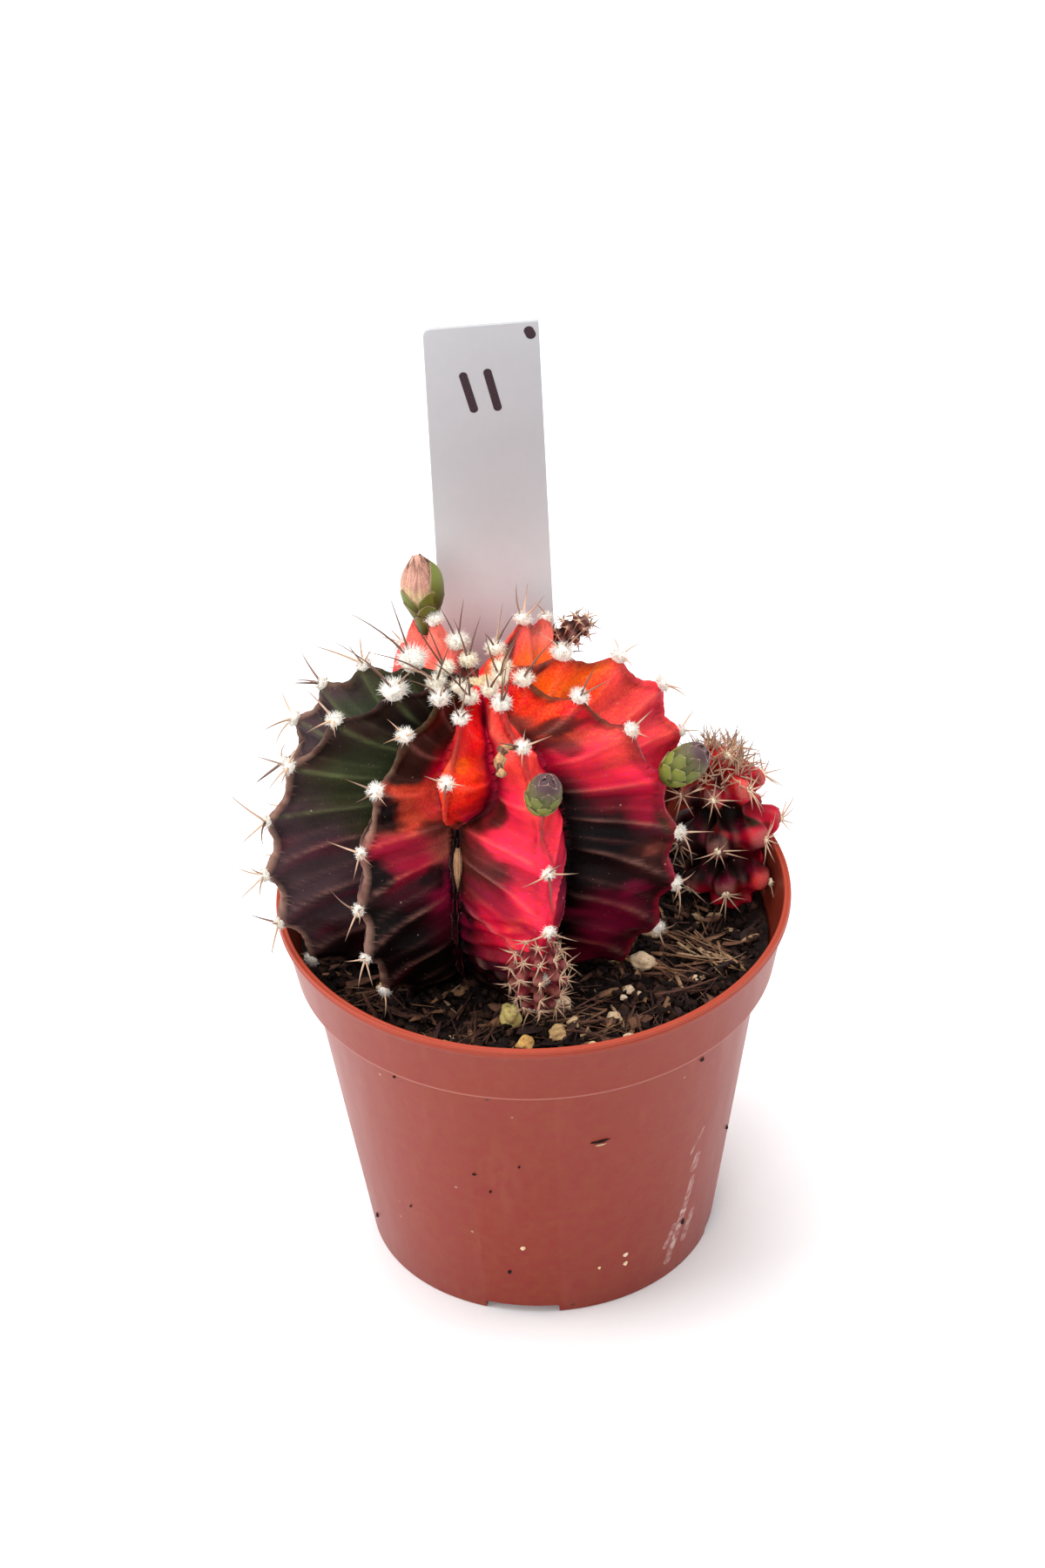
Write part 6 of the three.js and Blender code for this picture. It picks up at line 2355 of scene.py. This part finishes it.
class BUDS_OT_cactus(bpy.types.Operator):
    """Make the two green buds, the faded bud and the curled dry flower"""

    bl_idname = "cactus.buds"
    bl_label = "Buds"

    def execute(self, context):
        scaly_bud("front_bud", "bud_front", BUD, FRONT_SEAT.at, FRONT_AIM, 0.4)
        scaly_bud("right_bud", "bud_right", BUD_RIGHT, RIGHT_SEAT.at, RIGHT_AIM, 0.1)
        self.faded_bud()
        self.dried_flower()
        self.papery_scale()
        return {"FINISHED"}

    def faded_bud(self):
        """Green scales below, and a tuft of dry petals under a green hood above."""
        place = standing(Vector(SPENT_SEAT), SPENT_AIM)
        tall = SPENT.height

        def profile(level):
            share = np.clip(level / tall, 0.0, 0.995)
            lower = mix(0.42, 1.0, smoothstep(0.05, 0.5, share))
            upper = (1 - smoothstep(0.6, 1.08, share)) ** 0.8
            return SPENT.width / 2 * lower * upper * (1 - smoothstep(0.985, 1.0, share))

        def add(shape, angle, foot, tip, *rest):
            add_scale(shape, profile, angle, foot * tall, tip * tall, *rest)

        green = scale_shape()
        for tier, (foot, tip, count) in enumerate([(0.0, 0.3, 5), (0.16, 0.46, 5), (0.3, 0.62, 4)]):
            for number in range(count):
                angle = TAU * (number + 0.5 * (tier % 2)) / count + 0.5
                add(green, angle, foot, tip, TAU / count * 0.6, 0.18, 0.2, 0.1)
        # The hood is one broad scale at the right, open at its front edge.
        add(green, -0.35, 0.34, 0.93, 0.95, 0.42, 0.25, 0.15)
        thickened(green, 0.2)
        add_core(green, profile, tall * 0.62, 0.2)
        bmesh.ops.transform(green, matrix=place, verts=green.verts)
        piece("faded_bud_green", green, "Bud scale", "bud", "bud_spent")
        petals = scale_shape()
        chance = random.Random(8)
        for layer, (foot, tip) in enumerate([(0.4, 0.99), (0.38, 0.95)]):
            for number in range(4):
                angle = TAU * (number + 0.5 * layer) / 4 + 2.5
                reach = tip * (0.95 + 0.05 * chance.random())
                tint = 0.16 * chance.random()
                curl = 0.25 * chance.random() - 0.1
                add(petals, angle, foot, reach, 0.86, 0.12 * layer, curl, tint)
        thickened(petals, 0.12)
        add_core(petals, profile, tall * 0.985, 0.1)
        bmesh.ops.transform(petals, matrix=place, verts=petals.verts)
        piece("faded_bud_petals", petals, "Dried petal", "dry_petal")

    def dried_flower(self):
        """A shrivelled remnant: a ridged tube that swells and curls upwards."""
        seat = CURL_SEAT
        bends = [
            seat.at - seat.side * left + seat.down * down + seat.out * out
            for left, down, out in DRIED_BENDS
        ]
        path = curve_through(bends, 7)
        last = len(path) - 1
        sides = 12
        shape = scale_shape()
        ring = bmesh.ops.create_circle(shape, segments=sides, radius=1)["verts"]
        edges = shape.edges[:]
        for step, spot in enumerate(path):
            if step > 0:
                ring, edges = drawn_out(shape, edges)
            share = step / last
            ahead = Vector(path[min(step + 1, last)] - path[max(step - 1, 0)])
            turn = ahead.to_track_quat("Z", "Y").to_matrix()
            swell = 0.5 + 0.3 * math.sin(math.pi * share) + 0.18 * math.sin(23 * share)
            swell *= 0.35 if step in (0, last) else 1
            for number, vertex in enumerate(sorted(ring, key=lambda one: one.index)):
                angle = TAU * number / sides
                ridge = 1 + 0.32 * math.sin(3 * angle + 4 * share) + 0.2 * math.sin(37 * share)
                flat = Vector((math.cos(angle), 0.62 * math.sin(angle), 0)) * swell * ridge
                vertex.co = Vector(spot) + turn @ flat
                along = 0.7 + 0.42 * math.sin(17 * share + 1.3 * math.sin(angle))
                mark(shape, vertex, along, abs(math.sin(angle)), 1.0)
            shape.verts.index_update()
        bmesh.ops.holes_fill(shape, edges=shape.edges)
        bmesh.ops.recalc_face_normals(shape, faces=shape.faces)
        piece("dried_flower_curl", shape, "Dried petal", "dry_petal", "dried_flower")

    def papery_scale(self):
        """The dry bract that stands in the groove under the short rib."""
        shape = scale_shape()
        made = bmesh.ops.create_grid(shape, x_segments=4, y_segments=12, size=1)["verts"]
        line = skin_at(FRONT, -0.985, np.array([44.5, 46.5, 49, 51.5, 54]))
        for vertex in made:
            across, share = vertex.co.x, (vertex.co.y + 1) / 2
            spot = [np.interp(share * 4, range(5), line[:, axis]) for axis in range(3)]
            wide = 0.72 * math.sin(math.pi * min(1, 0.12 + 0.88 * share)) ** 0.8
            vertex.co = Vector(spot) + Vector((across * wide, -0.7 - 0.4 * (1 - across**2), 0))
            mark(shape, vertex, 0.55 + 0.3 * share, abs(across), 0.75)
        thickened(shape, 0.12)
        piece("groove_bract", shape, "Dried petal", "dry_petal")


class LABEL_OT_cactus(bpy.types.Operator):
    """Make the plastic plant label with two plain pen strokes and a dot"""

    bl_idname = "cactus.label"
    bl_label = "Label"

    def outline(self):
        """The strip's outline from its point, with one rounded corner at the top left."""
        half = LABEL.width / 2
        top = LABEL.length
        corner = [
            (-half + LABEL.corner * inward, top - LABEL.corner * down)
            for inward, down in [(1, 0), (0.42, 0.12), (0.12, 0.42), (0, 1)]
        ]
        return [(0, 0), (half, LABEL.point), (half, top), *corner, (-half, LABEL.point)]

    def execute(self, context):
        shape = bmesh.new()
        front = -LABEL.thickness / 2
        face = shape.faces.new([shape.verts.new((x, front, z)) for x, z in self.outline()])
        grown = bmesh.ops.extrude_face_region(shape, geom=[face])["geom"]
        back = only(bmesh.types.BMVert, grown)
        bmesh.ops.translate(shape, vec=(0, LABEL.thickness, 0), verts=back)
        bmesh.ops.recalc_face_normals(shape, faces=shape.faces)
        softened(shape, shape.edges[:], 0.14)
        # Cross cuts keep the strip's faces short.
        cuts = 16
        for step in range(1, cuts):
            bmesh.ops.bisect_plane(
                shape,
                geom=shape.verts[:] + shape.edges[:] + shape.faces[:],
                plane_co=(0, 0, LABEL.length * step / cuts),
                plane_no=(0, 0, 1),
            )
        map_layer = shape.loops.layers.uv.new("UVMap")
        front_layer = shape.verts.layers.float.new("front")
        for face in shape.faces:
            for loop in face.loops:
                loop[map_layer].uv = (loop.vert.co.x / LABEL_UNIT, loop.vert.co.z / LABEL_UNIT)
        for vertex in shape.verts:
            vertex[front_layer] = float(vertex.co.y < 0)
        turn = Matrix.Rotation(math.radians(LABEL.turn), 4, "Z")
        place = leaning(LABEL.tip, -LABEL.lean_left, LABEL.lean_back) @ turn
        bmesh.ops.transform(shape, matrix=place, verts=shape.verts)
        made = piece("label_strip", shape, "Label plastic", "label_plastic", "plant_label")
        made.data.set_sharp_from_angle(angle=math.radians(35))
        return {"FINISHED"}


# ---- The add-on ----

STEPS = ["stage", "pot", "soil", "skin", "wool", "offsets", "buds", "label"]
GROUPS = {
    "cactus_sizes": CactusSizes,
    "cactus_colours": CactusColours,
    "cactus_paints": CactusPaints,
}


class VIEW3D_PT_cactus(bpy.types.Panel):
    """Lists the steps that build the plant, with their sizes and colours"""

    bl_label = "Potted chin cactus"
    bl_space_type = "VIEW_3D"
    bl_region_type = "UI"
    bl_category = "Cactus"

    def draw(self, context):
        steps = self.layout.column(align=True)
        for step in STEPS:
            steps.operator("cactus." + step)
        for name in GROUPS:
            group = getattr(context.scene, name)
            box = self.layout.box()
            for one in group.__annotations__:
                box.prop(group, one)


CLASSES = [
    *GROUPS.values(),
    STAGE_OT_cactus,
    POT_OT_cactus,
    SOIL_OT_cactus,
    SKIN_OT_cactus,
    WOOL_OT_cactus,
    OFFSETS_OT_cactus,
    BUDS_OT_cactus,
    LABEL_OT_cactus,
    VIEW3D_PT_cactus,
]


def register():
    for one in CLASSES:
        bpy.utils.register_class(one)
    for name, group in GROUPS.items():
        setattr(bpy.types.Scene, name, bpy.props.PointerProperty(type=group))


def unregister():
    for name in GROUPS:
        delattr(bpy.types.Scene, name)
    for one in reversed(CLASSES):
        bpy.utils.unregister_class(one)


def main():
    register()
    for step in STEPS:
        getattr(bpy.ops.cactus, step)()
    low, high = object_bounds()
    written = {
        "packed": [list(cad_low), list(cad_high)],
        "visual": [list(low), list(high)],
    }


if __name__ == "__main__":
    main()
